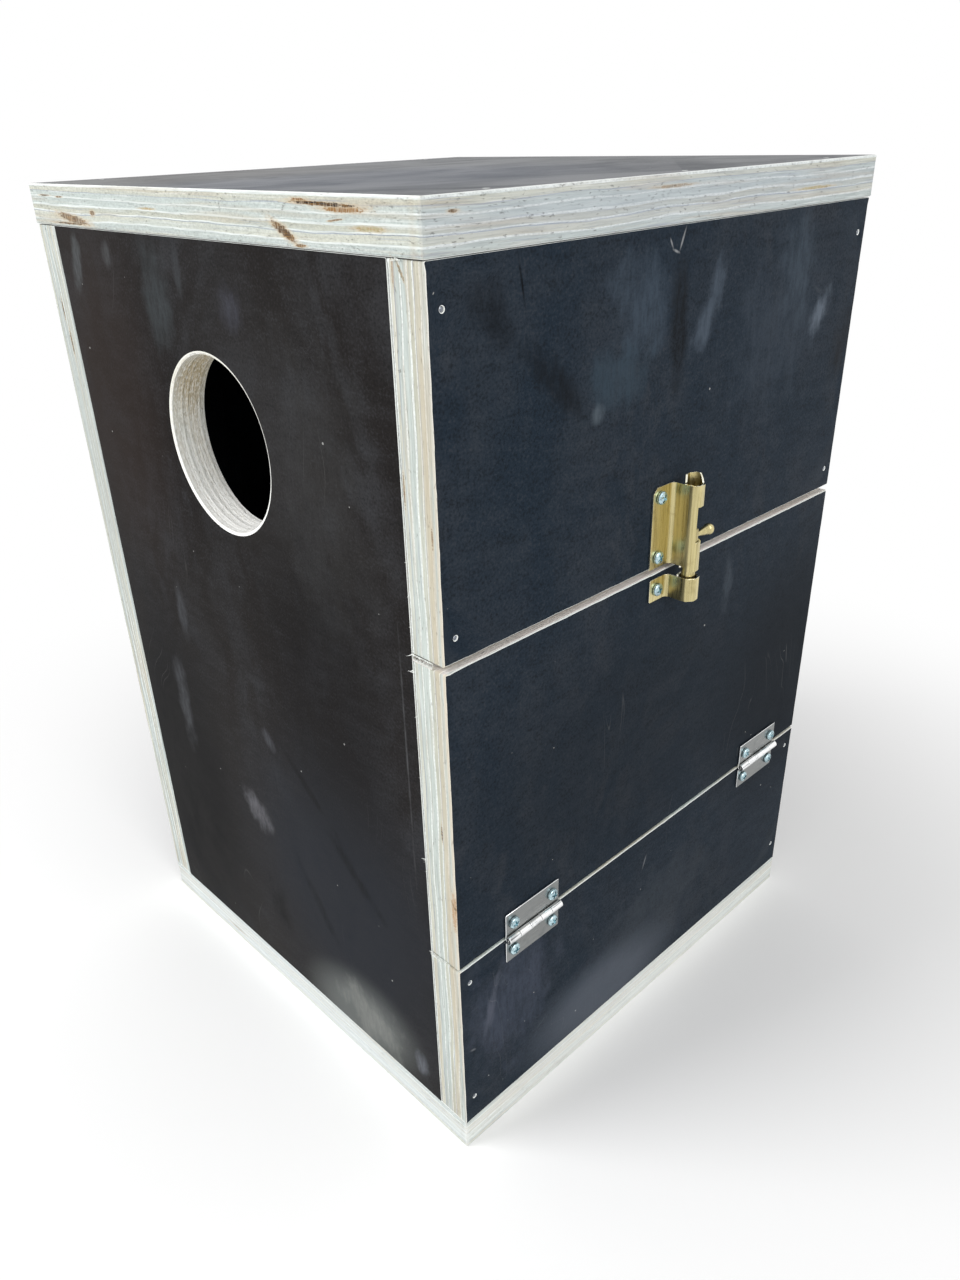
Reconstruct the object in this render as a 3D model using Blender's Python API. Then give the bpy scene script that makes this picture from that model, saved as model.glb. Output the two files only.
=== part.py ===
"""Parakeet breeding box of film-faced plywood, with a hinged inspection door and a brass barrel bolt.

Metres, +Z up. The origin is the centre of the floor's underside. The entrance hole is in the wall
that faces -Y, and the inspection door is in the wall that faces +X.
"""

import math

import bmesh
import bpy
from mathutils import Matrix, Vector

# Plywood case: the inside room and the sheet it is sawn from
INSIDE_WIDTH = 0.252
INSIDE_DEPTH = 0.250
INSIDE_HEIGHT = 0.404
PLY = 0.018
ROOF_PROUD = 0.0006
ARRIS = 0.0006
FIT_GAP = 0.0003

# Door side, from the floor upwards: lower panel, hinge seam, door, bolt seam, upper panel
LOWER_PANEL_HEIGHT = 0.1031
HINGE_SEAM = 0.0012
DOOR_HEIGHT = 0.1530
BOLT_SEAM = 0.0028

# Round entrance in the front panel
ENTRANCE_DIAMETER = 0.079
ENTRANCE_DROP = 0.0855
ENTRANCE_SEGMENTS = 56

# Steel butt hinges
HINGE_LENGTH = 0.0366
LEAF_WIDTH = 0.0145
LEAF_THICKNESS = 0.0009
KNUCKLE_RADIUS = 0.0020
HINGE_PIN_RADIUS = 0.0008
HINGE_PIN_END = 0.0004
HINGE_PIN_BEVEL = 0.00025
KNUCKLE_COUNT = 5
HINGE_NEAR_INSET = 0.0294
HINGE_FAR_INSET = 0.0252
LEAF_SCREW_INSET = 0.0050
KNUCKLE_SEGMENTS = 20

# Pan head screws of the hinges and the bolt
SCREW_HEAD_RADIUS = 0.0031
SCREW_HEAD_HEIGHT = 0.0019
SCREW_SHANK_RADIUS = 0.0012
SCREW_LENGTH = 0.012
SCREW_SLOT_WIDTH = 0.0007
SCREW_SLOT_DEPTH = 0.0010
SCREW_SLOT_REACH = 0.00185
SCREW_DOME_SHARES = ((0, 1), (0.45, 0.97), (0.80, 0.78), (1, 0.38), (0.97, 0))
SCREW_SEGMENTS = 16

# Brad nails of the case
NAIL_HEAD_RADIUS = 0.0010
NAIL_HEAD_HEIGHT = 0.0006
NAIL_SHANK_RADIUS = 0.00075
NAIL_LENGTH = 0.035
NAIL_SINK = 0.0002
NAIL_EDGE_INSET = 0.0066
NAIL_CUT_INSET = 0.0106
NAIL_CAP_INSET = 0.0150
NAIL_CORNER_INSET = 0.034
NAIL_SEGMENTS = 8

# Brass barrel bolt: body rolled from one sheet, rod, knob and keeper
BOLT_SHEET = 0.0008
BOLT_STANDOFF = 0.0095
BOLT_FLANGE = 0.0182
KEEPER_FLANGE = 0.0172
BOLT_BEND_RADIUS = 0.0020
BOLT_LENGTH = 0.0383
BOLT_SETBACK = 0.0003
BOLT_CORNER_CLIP = 0.0025
BARREL_TONGUE = 0.0040
BARREL_DROP = 0.0022
ROD_RADIUS = 0.0031
ROD_CLEARANCE = 0.0003
ROD_ABOVE_KNOB = 0.0042
ROD_BEVEL = 0.0005
BOLT_SCREW_SIDE_INSET = 0.0053
BOLT_SCREW_END_INSET = 0.0051
KNOB_HEIGHT = 0.0133
KNOB_REACH = 0.0162
KNOB_BALL_RADIUS = 0.0027
KNOB_STEM_RADIUS = 0.0013
KNOB_COLLAR = 0.0008
KNOB_NECK_DEG = -30
KNOB_STEP_DEG = 15
KNOB_TRAVEL = 0.0135
LIP_HEIGHT = 0.0086
KEEPER_HEIGHT = 0.0112
KEEPER_SETBACK = 0.0023
KEEPER_CLEARANCE = 0.0010
ROD_NOSE_INSET = 0.0006
SLOT_FRONT_DEG = -12
SLOT_BACK_DEG = 122
NOTCH_BACK_DEG = 150
TAIL_END_DEG = 220
BARREL_STEP_DEG = 15
BEND_STEP_DEG = 30
TONGUE_FRONT_SHARE = 0.6
TONGUE_BACK_SHARE = 0.8
WEB_CUT_SHARE = 0.8
ROD_SEGMENTS = 24
KNOB_SEGMENTS = 16

# Welded wire ladder inside the front panel, with its staples
WIRE_RADIUS = 0.0008
LADDER_PITCH = 0.019
LADDER_COLUMNS = 5
LADDER_DROP = 0.016
LADDER_FOOT_ROOM = 0.028
LADDER_OVERHANG = 0.003
WELD_SHARE = 0.85
WIRE_SEGMENTS = 6
STAPLE_RADIUS = 0.0005
STAPLE_WIDTH = 0.0056
STAPLE_LENGTH = 0.011

# Loose nest block with a dished hollow
NEST_HEIGHT = 0.022
NEST_PLAY = 0.003
NEST_BEVEL = 0.001
DISH_DIAMETER = 0.156
DISH_DEPTH = 0.013
DISH_SEGMENTS = 40
DISH_RINGS = 5

# How far a cutter runs past what it cuts, how close points are merged, and the sharpest smooth bend
OVERRUN = 0.001
MERGE_DISTANCE = 0.000006
SMOOTH_DEG = 40

# Faces and heights that follow from the sizes above
WIDTH = INSIDE_WIDTH + 2 * PLY
DEPTH = INSIDE_DEPTH + 2 * PLY
HEIGHT = INSIDE_HEIGHT + 2 * PLY
SIDE_FACE = WIDTH / 2
FRONT_FACE = -DEPTH / 2
BACK_FACE = DEPTH / 2
WALL_FOOT = PLY + FIT_GAP
WALL_HEAD = HEIGHT - PLY - FIT_GAP
LOWER_TOP = WALL_FOOT + LOWER_PANEL_HEIGHT
DOOR_FOOT = LOWER_TOP + HINGE_SEAM
DOOR_HEAD = DOOR_FOOT + DOOR_HEIGHT
UPPER_FOOT = DOOR_HEAD + BOLT_SEAM
HINGE_AXIS = Vector((SIDE_FACE + FIT_GAP + KNUCKLE_RADIUS, 0, (LOWER_TOP + DOOR_FOOT) / 2))
SCREW_BORE = SCREW_SHANK_RADIUS + FIT_GAP
NAIL_BORE = NAIL_HEAD_RADIUS + FIT_GAP
BARREL_RADIUS = ROD_RADIUS + ROD_CLEARANCE + BOLT_SHEET / 2
KEEPER_RADIUS = ROD_RADIUS + KEEPER_CLEARANCE + BOLT_SHEET / 2
BOLT_BASE = SIDE_FACE + FIT_GAP
BOLT_AXIS = Vector((SIDE_FACE + BOLT_STANDOFF, 0, 0))
BOLT_FOOT = UPPER_FOOT + BOLT_SETBACK
KEEPER_HEAD = DOOR_HEAD - KEEPER_SETBACK
NEST_HEAD = WALL_FOOT + NEST_HEIGHT

FILM = ((0.030, 0.029, 0.031), 0.42, 0.0)
ZINC = ((0.62, 0.65, 0.68), 0.35, 1.0)
BRASS = ((0.60, 0.47, 0.20), 0.32, 1.0)
NAIL_STEEL = ((0.55, 0.55, 0.56), 0.40, 1.0)
BARE_WOOD = ((0.62, 0.45, 0.27), 0.70, 0.0)
GALVANISED = ((0.50, 0.52, 0.54), 0.45, 1.0)

X_OUT = Vector((1, 0, 0))
X_IN = Vector((-1, 0, 0))
Y_OUT = Vector((0, 1, 0))
UP = Vector((0, 0, 1))
DOWN = Vector((0, 0, -1))


def clear_scene():
    for old in list(bpy.data.objects):
        bpy.data.objects.remove(old, do_unlink=True)


def paint(piece, finish):
    """Give a piece its own material of one finish."""
    colour, roughness, metallic = finish
    material = bpy.data.materials.new(piece.name)
    material.use_nodes = True
    shader = material.node_tree.nodes["Principled BSDF"]
    shader.inputs["Base Color"].default_value = (*colour, 1)
    shader.inputs["Roughness"].default_value = roughness
    shader.inputs["Metallic"].default_value = metallic
    piece.data.materials.append(material)


def add_piece(name, mesh, place, finish=None, carrier=None):
    """Put a mesh in the scene at a place in the world, carried by an empty where it moves."""
    piece = bpy.data.objects.new(name, mesh)
    bpy.context.scene.collection.objects.link(piece)
    piece.location = place - carrier.location if carrier else place
    piece.parent = carrier
    if finish:
        paint(piece, finish)
    return piece


def add_axis(name, place):
    """An empty on a joint's axis, which carries the pieces that move about it."""
    axis = bpy.data.objects.new(name, None)
    bpy.context.scene.collection.objects.link(axis)
    axis.location = place
    return axis


def as_cutter(piece):
    piece.hide_render = True
    piece.display_type = "WIRE"
    return piece


def shape_with(piece, operation, tool):
    """Join a tool's shape to a piece, or cut it out."""
    modifier = piece.modifiers.new(tool.name, "BOOLEAN")
    modifier.operation = operation
    modifier.object = tool


def finish_mesh(name, form):
    """Turn a bmesh into a mesh whose faces point outwards."""
    bmesh.ops.recalc_face_normals(form, faces=form.faces)
    mesh = bpy.data.meshes.new(name)
    form.to_mesh(mesh)
    form.free()
    return mesh


def add_block(form, low, high):
    """Add a box between two corners."""
    low, high = Vector(low), Vector(high)
    size = high - low
    place = Matrix.Translation((low + high) / 2) @ Matrix.Diagonal((*size, 1))
    bmesh.ops.create_cube(form, size=1, matrix=place)


def add_rod(form, start, end, radius, segments):
    """Add a plain cylinder between two points."""
    start, end = Vector(start), Vector(end)
    run = end - start
    turn = UP.rotation_difference(run).to_matrix().to_4x4()
    bmesh.ops.create_cone(
        form,
        cap_ends=True,
        segments=segments,
        radius1=radius,
        radius2=radius,
        depth=run.length,
        matrix=Matrix.Translation((start + end) / 2) @ turn,
    )


def turned_mesh(name, outline, segments):
    """Spin an outline of (radius, height) points about Z into a closed body."""
    form = bmesh.new()
    points = [form.verts.new((radius, 0, height)) for radius, height in outline]
    edges = [form.edges.new(pair) for pair in zip(points, points[1:])]
    bmesh.ops.spin(
        form,
        geom=points + edges,
        axis=UP,
        cent=(0, 0, 0),
        angle=math.tau,
        steps=segments,
    )
    bmesh.ops.remove_doubles(form, verts=form.verts, dist=MERGE_DISTANCE)
    mesh = finish_mesh(name, form)
    mesh.shade_smooth()
    mesh.set_sharp_from_angle(angle=math.radians(SMOOTH_DEG))
    return mesh


def extruded_mesh(name, outline, run):
    """Extrude a flat outline of points along a run into a closed body."""
    form = bmesh.new()
    face = form.faces.new([form.verts.new(point) for point in outline])
    moved = bmesh.ops.extrude_face_region(form, geom=[face])["geom"]
    tops = [item for item in moved if isinstance(item, bmesh.types.BMVert)]
    bmesh.ops.translate(form, verts=tops, vec=run)
    mesh = finish_mesh(name, form)
    mesh.shade_smooth()
    mesh.set_sharp_from_angle(angle=math.radians(SMOOTH_DEG))
    return mesh


def add_board(name, low, high, finish=FILM, bevel=ARRIS, carrier=None):
    """A sawn board with its edges lightly sanded."""
    low, high = Vector(low), Vector(high)
    centre = (low + high) / 2
    form = bmesh.new()
    add_block(form, low - centre, high - centre)
    board = add_piece(name, finish_mesh(name, form), centre, finish, carrier)
    sanding = board.modifiers.new("sanded_edges", "BEVEL")
    sanding.width = bevel
    sanding.segments = 1
    return board


def drill(name, targets, starts, inward, depth, radius, segments):
    """Bore like holes at several places through every board or plate that they meet."""
    form = bmesh.new()
    for start in starts:
        add_rod(form, start - inward * OVERRUN, start + inward * depth, radius, segments)
    bores = as_cutter(add_piece(name, finish_mesh(name, form), Vector()))
    for target in targets:
        shape_with(target, "DIFFERENCE", bores)


def nail_mesh():
    """A brad: flat head, round shank and a cut point, head upwards at the origin."""
    return turned_mesh(
        "brad",
        [
            (0, 0),
            (NAIL_HEAD_RADIUS, 0),
            (NAIL_HEAD_RADIUS, -NAIL_HEAD_HEIGHT),
            (NAIL_SHANK_RADIUS, -NAIL_HEAD_HEIGHT),
            (NAIL_SHANK_RADIUS, 2 * NAIL_SHANK_RADIUS - NAIL_LENGTH),
            (0, -NAIL_LENGTH),
        ],
        NAIL_SEGMENTS,
    )


def screw_mesh():
    """A pan head screw with a cross recess, its head's seat at the origin and its head upwards."""
    crown = SCREW_HEAD_HEIGHT
    rim = SCREW_HEAD_RADIUS
    outline = [(across * rim, up * crown) for across, up in SCREW_DOME_SHARES]
    outline += [
        (SCREW_SHANK_RADIUS, 0),
        (SCREW_SHANK_RADIUS, 2 * SCREW_SHANK_RADIUS - SCREW_LENGTH),
        (0, -SCREW_LENGTH),
    ]
    blank = add_piece("screw_blank", turned_mesh("plain_screw", outline, SCREW_SEGMENTS), Vector())
    half = SCREW_SLOT_WIDTH / 2
    form = bmesh.new()
    for across, along in ((half, SCREW_SLOT_REACH), (SCREW_SLOT_REACH, half)):
        low = (-across, -along, crown - SCREW_SLOT_DEPTH)
        add_block(form, low, (across, along, crown + OVERRUN))
    cross = add_piece("screw_cross", finish_mesh("screw_cross", form), Vector())
    shape_with(blank, "DIFFERENCE", cross)
    blank.modifiers["screw_cross"].use_self = True
    graph = bpy.context.evaluated_depsgraph_get()
    finished = bpy.data.meshes.new_from_object(blank.evaluated_get(graph))
    finished.name = "pan_head_screw"
    for spare in (blank, cross):
        bpy.data.objects.remove(spare, do_unlink=True)
    return finished


def drive(name, mesh, place, outward, finish, carrier=None):
    """Set a nail or screw with its head facing outward."""
    fastener = add_piece(name, mesh.copy(), place, finish, carrier)
    fastener.rotation_euler = UP.rotation_difference(outward).to_euler()
    return fastener


def nail_down(name, mesh, heads, outward, boards):
    """Nail boards together: one brad and one bore for each head."""
    depth = NAIL_SINK + NAIL_LENGTH + FIT_GAP
    drill(name + "_bores", boards, heads, -outward, depth, NAIL_BORE, NAIL_SEGMENTS)
    for number, head in enumerate(heads, 1):
        drive(f"{name}_{number}", mesh, head - outward * NAIL_SINK, outward, NAIL_STEEL)


def add_case():
    """Roof and floor cap the walls, and the side walls cover the front and back panels' edges."""
    roof_side = SIDE_FACE + ROOF_PROUD
    roof_end = BACK_FACE + ROOF_PROUD
    inner = INSIDE_WIDTH / 2 - FIT_GAP
    inside = INSIDE_WIDTH / 2
    boards = {
        "roof_panel": ((-roof_side, -roof_end, HEIGHT - PLY), (roof_side, roof_end, HEIGHT)),
        "floor_panel": ((-SIDE_FACE, FRONT_FACE, 0), (SIDE_FACE, BACK_FACE, PLY)),
        "front_panel": ((-inner, FRONT_FACE, WALL_FOOT), (inner, FRONT_FACE + PLY, WALL_HEAD)),
        "back_panel": ((-inner, BACK_FACE - PLY, WALL_FOOT), (inner, BACK_FACE, WALL_HEAD)),
        "left_side_panel": ((-SIDE_FACE, FRONT_FACE, WALL_FOOT), (-inside, BACK_FACE, WALL_HEAD)),
        "lower_side_panel": ((inside, FRONT_FACE, WALL_FOOT), (SIDE_FACE, BACK_FACE, LOWER_TOP)),
        "upper_side_panel": ((inside, FRONT_FACE, UPPER_FOOT), (SIDE_FACE, BACK_FACE, WALL_HEAD)),
    }
    return {name: add_board(name, low, high) for name, (low, high) in boards.items()}


def add_door(door_axis):
    low = (INSIDE_WIDTH / 2, FRONT_FACE, DOOR_FOOT)
    high = (SIDE_FACE, BACK_FACE, DOOR_HEAD)
    return add_board("inspection_door", low, high, carrier=door_axis)


def cut_entrance(front):
    """The round hole, with its rim sanded at both faces."""
    radius = ENTRANCE_DIAMETER / 2
    flare = radius + ARRIS + OVERRUN
    mesh = turned_mesh(
        "entrance_bore",
        [
            (0, -PLY / 2 - OVERRUN),
            (flare, -PLY / 2 - OVERRUN),
            (radius, ARRIS - PLY / 2),
            (radius, PLY / 2 - ARRIS),
            (flare, PLY / 2 + OVERRUN),
            (0, PLY / 2 + OVERRUN),
        ],
        ENTRANCE_SEGMENTS,
    )
    centre = Vector((0, FRONT_FACE + PLY / 2, HEIGHT - PLY - ENTRANCE_DROP))
    bore = as_cutter(add_piece("entrance_bore", mesh, centre))
    bore.rotation_euler = UP.rotation_difference(Y_OUT).to_euler()
    shape_with(front, "DIFFERENCE", bore)


def nail_case(case):
    """Brads through the side walls, the roof and the floor into the edges they cover."""
    brad = nail_mesh()
    near, far = FRONT_FACE + NAIL_EDGE_INSET, BACK_FACE - NAIL_EDGE_INSET
    ends = (case["front_panel"], case["back_panel"])
    rows = {
        "upper_side_nail": (UPPER_FOOT + NAIL_CUT_INSET, WALL_HEAD - NAIL_CAP_INSET),
        "lower_side_nail": (WALL_FOOT + NAIL_CAP_INSET, LOWER_TOP - NAIL_CUT_INSET),
    }
    for name, heights in rows.items():
        heads = [Vector((SIDE_FACE, y, z)) for y in (near, far) for z in heights]
        panel = case[name.replace("nail", "panel")]
        nail_down(name, brad, heads, X_OUT, (panel, *ends))
    low, high = WALL_FOOT + NAIL_CAP_INSET, WALL_HEAD - NAIL_CAP_INSET
    heights = (low, (low + high) / 2, high)
    heads = [Vector((-SIDE_FACE, y, z)) for y in (near, far) for z in heights]
    nail_down("left_side_nail", brad, heads, X_IN, (case["left_side_panel"], *ends))
    across = SIDE_FACE - NAIL_EDGE_INSET
    along = BACK_FACE - NAIL_CORNER_INSET
    heads = [Vector((x, y, HEIGHT)) for x in (-across, across) for y in (-along, 0, along)]
    walls = (case["roof_panel"], case["left_side_panel"], case["upper_side_panel"])
    nail_down("roof_nail", brad, heads, UP, walls)
    heads = [Vector((x, y, 0)) for x in (-across, across) for y in (-along, along)]
    walls = (case["floor_panel"], case["left_side_panel"], case["lower_side_panel"])
    nail_down("floor_nail", brad, heads, DOWN, walls)


def add_leaf(name, centre, rise, own_knuckles, carrier=None):
    """One hinge leaf: a flat plate whose own knuckles are rolled round the pin.

    rise is 1 for the leaf above the pin and -1 for the leaf below it.
    """
    half = HINGE_LENGTH / 2
    pitch = HINGE_LENGTH / KNUCKLE_COUNT
    back, face = -KNUCKLE_RADIUS, LEAF_THICKNESS - KNUCKLE_RADIUS
    root = KNUCKLE_RADIUS + FIT_GAP
    form = bmesh.new()
    add_block(form, (back, -half, root * rise), (face, half, LEAF_WIDTH * rise))
    leaf = add_piece(name, finish_mesh(name, form), centre, ZINC, carrier)
    necks, rolls = bmesh.new(), bmesh.new()
    for number in own_knuckles:
        low = number * pitch - half + (FIT_GAP / 2 if number else 0)
        last = number == KNUCKLE_COUNT - 1
        high = (number + 1) * pitch - half - (0 if last else FIT_GAP / 2)
        add_block(necks, (back, low, 0), (face, high, (root + LEAF_THICKNESS) * rise))
        add_rod(rolls, (0, low, 0), (0, high, 0), KNUCKLE_RADIUS, KNUCKLE_SEGMENTS)
    for part, shape in (("necks", necks), ("rolls", rolls)):
        tool = add_piece(f"{name}_{part}", finish_mesh(f"{name}_{part}", shape), centre)
        shape_with(leaf, "UNION", as_cutter(tool))
    bore_start = centre - Y_OUT * half
    bore_radius = HINGE_PIN_RADIUS + FIT_GAP
    depth = HINGE_LENGTH + OVERRUN
    drill(name + "_bore", (leaf,), (bore_start,), Y_OUT, depth, bore_radius, KNUCKLE_SEGMENTS)
    return leaf


def add_hinge(side, along, screw, door, lower, door_axis):
    """A butt hinge across the lower saw cut: door leaf, fixed leaf, pin and four screws."""
    centre = HINGE_AXIS + Y_OUT * along
    upper_leaf = add_leaf(side + "_hinge_door_leaf", centre, 1, range(0, KNUCKLE_COUNT, 2), door_axis)
    lower_leaf = add_leaf(side + "_hinge_fixed_leaf", centre, -1, range(1, KNUCKLE_COUNT, 2))
    seat = SIDE_FACE + FIT_GAP + LEAF_THICKNESS
    spread = HINGE_LENGTH / 2 - LEAF_SCREW_INSET
    drop = (KNUCKLE_RADIUS + LEAF_WIDTH) / 2
    depth = SCREW_LENGTH + FIT_GAP
    for leaf, board, rise, carrier, word in (
        (upper_leaf, door, 1, door_axis, "door"),
        (lower_leaf, lower, -1, None, "fixed"),
    ):
        heads = [Vector((seat, along + y, centre.z + rise * drop)) for y in (-spread, spread)]
        drill(leaf.name + "_holes", (leaf, board), heads, X_IN, depth, SCREW_BORE, SCREW_SEGMENTS)
        for number, head in enumerate(heads, 1):
            name = f"{side}_hinge_{word}_screw_{number}"
            drive(name, screw, head + X_OUT * FIT_GAP, X_OUT, ZINC, carrier)
    reach = HINGE_LENGTH / 2 + HINGE_PIN_END
    tip = HINGE_PIN_RADIUS - HINGE_PIN_BEVEL
    outline = [
        (0, -reach),
        (tip, -reach),
        (HINGE_PIN_RADIUS, HINGE_PIN_BEVEL - reach),
        (HINGE_PIN_RADIUS, reach - HINGE_PIN_BEVEL),
        (tip, reach),
        (0, reach),
    ]
    pin = add_piece(side + "_hinge_pin", turned_mesh("hinge_pin", outline, KNUCKLE_SEGMENTS), centre, ZINC)
    pin.rotation_euler = UP.rotation_difference(Y_OUT).to_euler()


def arc_points(centre, radius, first_deg, last_deg, step_deg):
    """Points round a centre; the angle is measured from +X towards +Y."""
    count = max(2, round(abs(last_deg - first_deg) / step_deg))
    angles = [first_deg + (last_deg - first_deg) * i / count for i in range(count + 1)]
    return [
        centre + radius * Vector((math.cos(math.radians(a)), math.sin(math.radians(a)), 0)) for a in angles
    ]


def rolled_sheet_outline(barrel_radius, flange):
    """Section of the brass sheet: flat flange, bend, web, and a barrel rolled round the rod.

    Seen from above, about the rod's axis. The outline runs along one side of the sheet's middle
    line and back along the other.
    """
    half = BOLT_SHEET / 2
    wall = FIT_GAP - BOLT_STANDOFF + half
    bend = Vector((wall + BOLT_BEND_RADIUS, -barrel_radius - BOLT_BEND_RADIUS, 0))
    middle = [Vector((wall, -flange, 0))]
    middle += arc_points(bend, BOLT_BEND_RADIUS, 180, 90, BEND_STEP_DEG)
    middle += arc_points(Vector(), barrel_radius, -90, TAIL_END_DEG, BARREL_STEP_DEG)
    sides = [[], []]
    for i, point in enumerate(middle):
        before, after = middle[max(i - 1, 0)], middle[min(i + 1, len(middle) - 1)]
        run = (after - before).normalized()
        across = Vector((-run.y, run.x, 0)) * half
        sides[0].append(point + across)
        sides[1].append(point - across)
    return sides[0] + sides[1][::-1]


def sector_cutter(name, radius, first_deg, last_deg, low, high):
    """A slice of a disc about the rod's axis, which cuts one part of the barrel's wall."""
    rim = arc_points(Vector(), radius, first_deg, last_deg, BEND_STEP_DEG)
    outline = [point + UP * low for point in (Vector(), *rim)]
    return as_cutter(add_piece(name, extruded_mesh(name, outline, UP * (high - low)), BOLT_AXIS))


def block_cutter(name, low, high):
    form = bmesh.new()
    add_block(form, low, high)
    return as_cutter(add_piece(name, finish_mesh(name, form), BOLT_AXIS))


def add_bolt_body():
    """The bolt's body: the rolled sheet with a slot for the knob, its barrel longer than its flange."""
    foot, head = BOLT_FOOT - BARREL_DROP, BOLT_FOOT + BOLT_LENGTH + BARREL_TONGUE
    outline = [point + UP * foot for point in rolled_sheet_outline(BARREL_RADIUS, BOLT_FLANGE)]
    body = add_piece("bolt_body", extruded_mesh("bolt_body", outline, UP * (head - foot)), BOLT_AXIS, BRASS)
    outer = BARREL_RADIUS + BOLT_SHEET / 2
    flange_head = BOLT_FOOT + BOLT_LENGTH
    web = -WEB_CUT_SHARE * BARREL_RADIUS
    low_x, high_x = -BOLT_STANDOFF - OVERRUN, outer + OVERRUN
    left = -BOLT_FLANGE - OVERRUN
    trims = [
        block_cutter("flange_head_trim", (low_x, left, flange_head), (high_x, web, head + OVERRUN)),
        block_cutter("flange_foot_trim", (low_x, left, foot - OVERRUN), (high_x, web, BOLT_FOOT)),
    ]
    slant = [
        Vector((outer + OVERRUN, web - OVERRUN, flange_head)),
        Vector((TONGUE_FRONT_SHARE * outer, web - OVERRUN, flange_head)),
        Vector((-TONGUE_BACK_SHARE * outer, web - OVERRUN, head)),
        Vector((-TONGUE_BACK_SHARE * outer, web - OVERRUN, head + OVERRUN)),
        Vector((outer + OVERRUN, web - OVERRUN, head + OVERRUN)),
    ]
    run = Y_OUT * (outer - web + 2 * OVERRUN)
    trims.append(as_cutter(add_piece("tongue_trim", extruded_mesh("tongue_trim", slant, run), BOLT_AXIS)))
    clip = [
        Vector((low_x, left, flange_head - BOLT_CORNER_CLIP - OVERRUN)),
        Vector((low_x, BOLT_CORNER_CLIP - BOLT_FLANGE + OVERRUN, flange_head + OVERRUN)),
        Vector((low_x, left, flange_head + OVERRUN)),
    ]
    clip_run = X_OUT * (BOLT_BEND_RADIUS + OVERRUN)
    trims.append(as_cutter(add_piece("corner_trim", extruded_mesh("corner_trim", clip, clip_run), BOLT_AXIS)))
    stem = KNOB_STEM_RADIUS + FIT_GAP
    slot_low = BOLT_FOOT + KNOB_HEIGHT - stem
    slot_high = BOLT_FOOT + KNOB_HEIGHT + KNOB_TRAVEL + stem
    lip_low = slot_low + (slot_high - slot_low - LIP_HEIGHT) / 2
    cut = outer + OVERRUN
    trims += [
        sector_cutter("knob_slot", cut, SLOT_FRONT_DEG, SLOT_BACK_DEG, slot_low, slot_high),
        sector_cutter("low_notch", cut, SLOT_FRONT_DEG, NOTCH_BACK_DEG, slot_low, lip_low),
        sector_cutter("high_notch", cut, SLOT_FRONT_DEG, NOTCH_BACK_DEG, lip_low + LIP_HEIGHT, slot_high),
    ]
    for trim in trims:
        shape_with(body, "DIFFERENCE", trim)
    return body


def add_keeper(door_axis):
    """The bolt's keeper: a short length of like sheet with a wider barrel, on the door's top edge."""
    foot = KEEPER_HEAD - KEEPER_HEIGHT
    outline = [point + UP * foot for point in rolled_sheet_outline(KEEPER_RADIUS, KEEPER_FLANGE)]
    mesh = extruded_mesh("bolt_keeper", outline, UP * KEEPER_HEIGHT)
    return add_piece("bolt_keeper", mesh, BOLT_AXIS, BRASS, door_axis)


def add_rod_and_knob():
    """The round rod in the barrel, and the drop-shaped knob that stands out of its side."""
    nose = KEEPER_HEAD - KEEPER_HEIGHT + ROD_NOSE_INSET
    length = BOLT_FOOT + KNOB_HEIGHT + ROD_ABOVE_KNOB - nose
    slide = add_axis("bolt_slide_axis", BOLT_AXIS + UP * nose)
    outline = [
        (0, 0),
        (ROD_RADIUS - ROD_BEVEL, 0),
        (ROD_RADIUS, ROD_BEVEL),
        (ROD_RADIUS, length - ROD_BEVEL),
        (ROD_RADIUS - ROD_BEVEL, length),
        (0, length),
    ]
    rod_mesh = turned_mesh("bolt_rod", outline, ROD_SEGMENTS)
    add_piece("bolt_rod", rod_mesh, slide.location.copy(), BRASS, slide)
    turn = add_axis("knob_turn_axis", BOLT_AXIS + UP * (BOLT_FOOT + KNOB_HEIGHT))
    root = ROD_RADIUS + FIT_GAP
    ball = KNOB_REACH - KNOB_BALL_RADIUS
    outline = [(0, root), (KNOB_STEM_RADIUS, root), (KNOB_STEM_RADIUS, root + KNOB_COLLAR)]
    dome = arc_points(Vector((0, ball, 0)), KNOB_BALL_RADIUS, KNOB_NECK_DEG, 90, KNOB_STEP_DEG)
    outline += [(point.x, point.y) for point in dome]
    knob_mesh = turned_mesh("bolt_knob", outline, KNOB_SEGMENTS)
    knob = add_piece("bolt_knob", knob_mesh, turn.location.copy(), BRASS, turn)
    knob.rotation_euler = UP.rotation_difference(Y_OUT).to_euler()


def screw_bolt_on(screw, body, keeper, upper, door, door_axis):
    """Two screws hold the body and one holds the keeper."""
    seat = BOLT_BASE + BOLT_SHEET
    across = BOLT_SCREW_SIDE_INSET - BOLT_FLANGE
    depth = SCREW_LENGTH + FIT_GAP
    heights = (BOLT_FOOT + BOLT_SCREW_END_INSET, BOLT_FOOT + BOLT_LENGTH - BOLT_SCREW_END_INSET)
    heads = [Vector((seat, across, z)) for z in heights]
    drill("bolt_body_holes", (body, upper), heads, X_IN, depth, SCREW_BORE, SCREW_SEGMENTS)
    for number, head in enumerate(heads, 1):
        drive(f"bolt_body_screw_{number}", screw, head + X_OUT * FIT_GAP, X_OUT, ZINC)
    across = BOLT_SCREW_SIDE_INSET - KEEPER_FLANGE
    head = Vector((seat, across, KEEPER_HEAD - KEEPER_HEIGHT / 2))
    drill("bolt_keeper_hole", (keeper, door), [head], X_IN, depth, SCREW_BORE, SCREW_SEGMENTS)
    drive("bolt_keeper_screw", screw, head + X_OUT * FIT_GAP, X_OUT, ZINC, door_axis)


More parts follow.
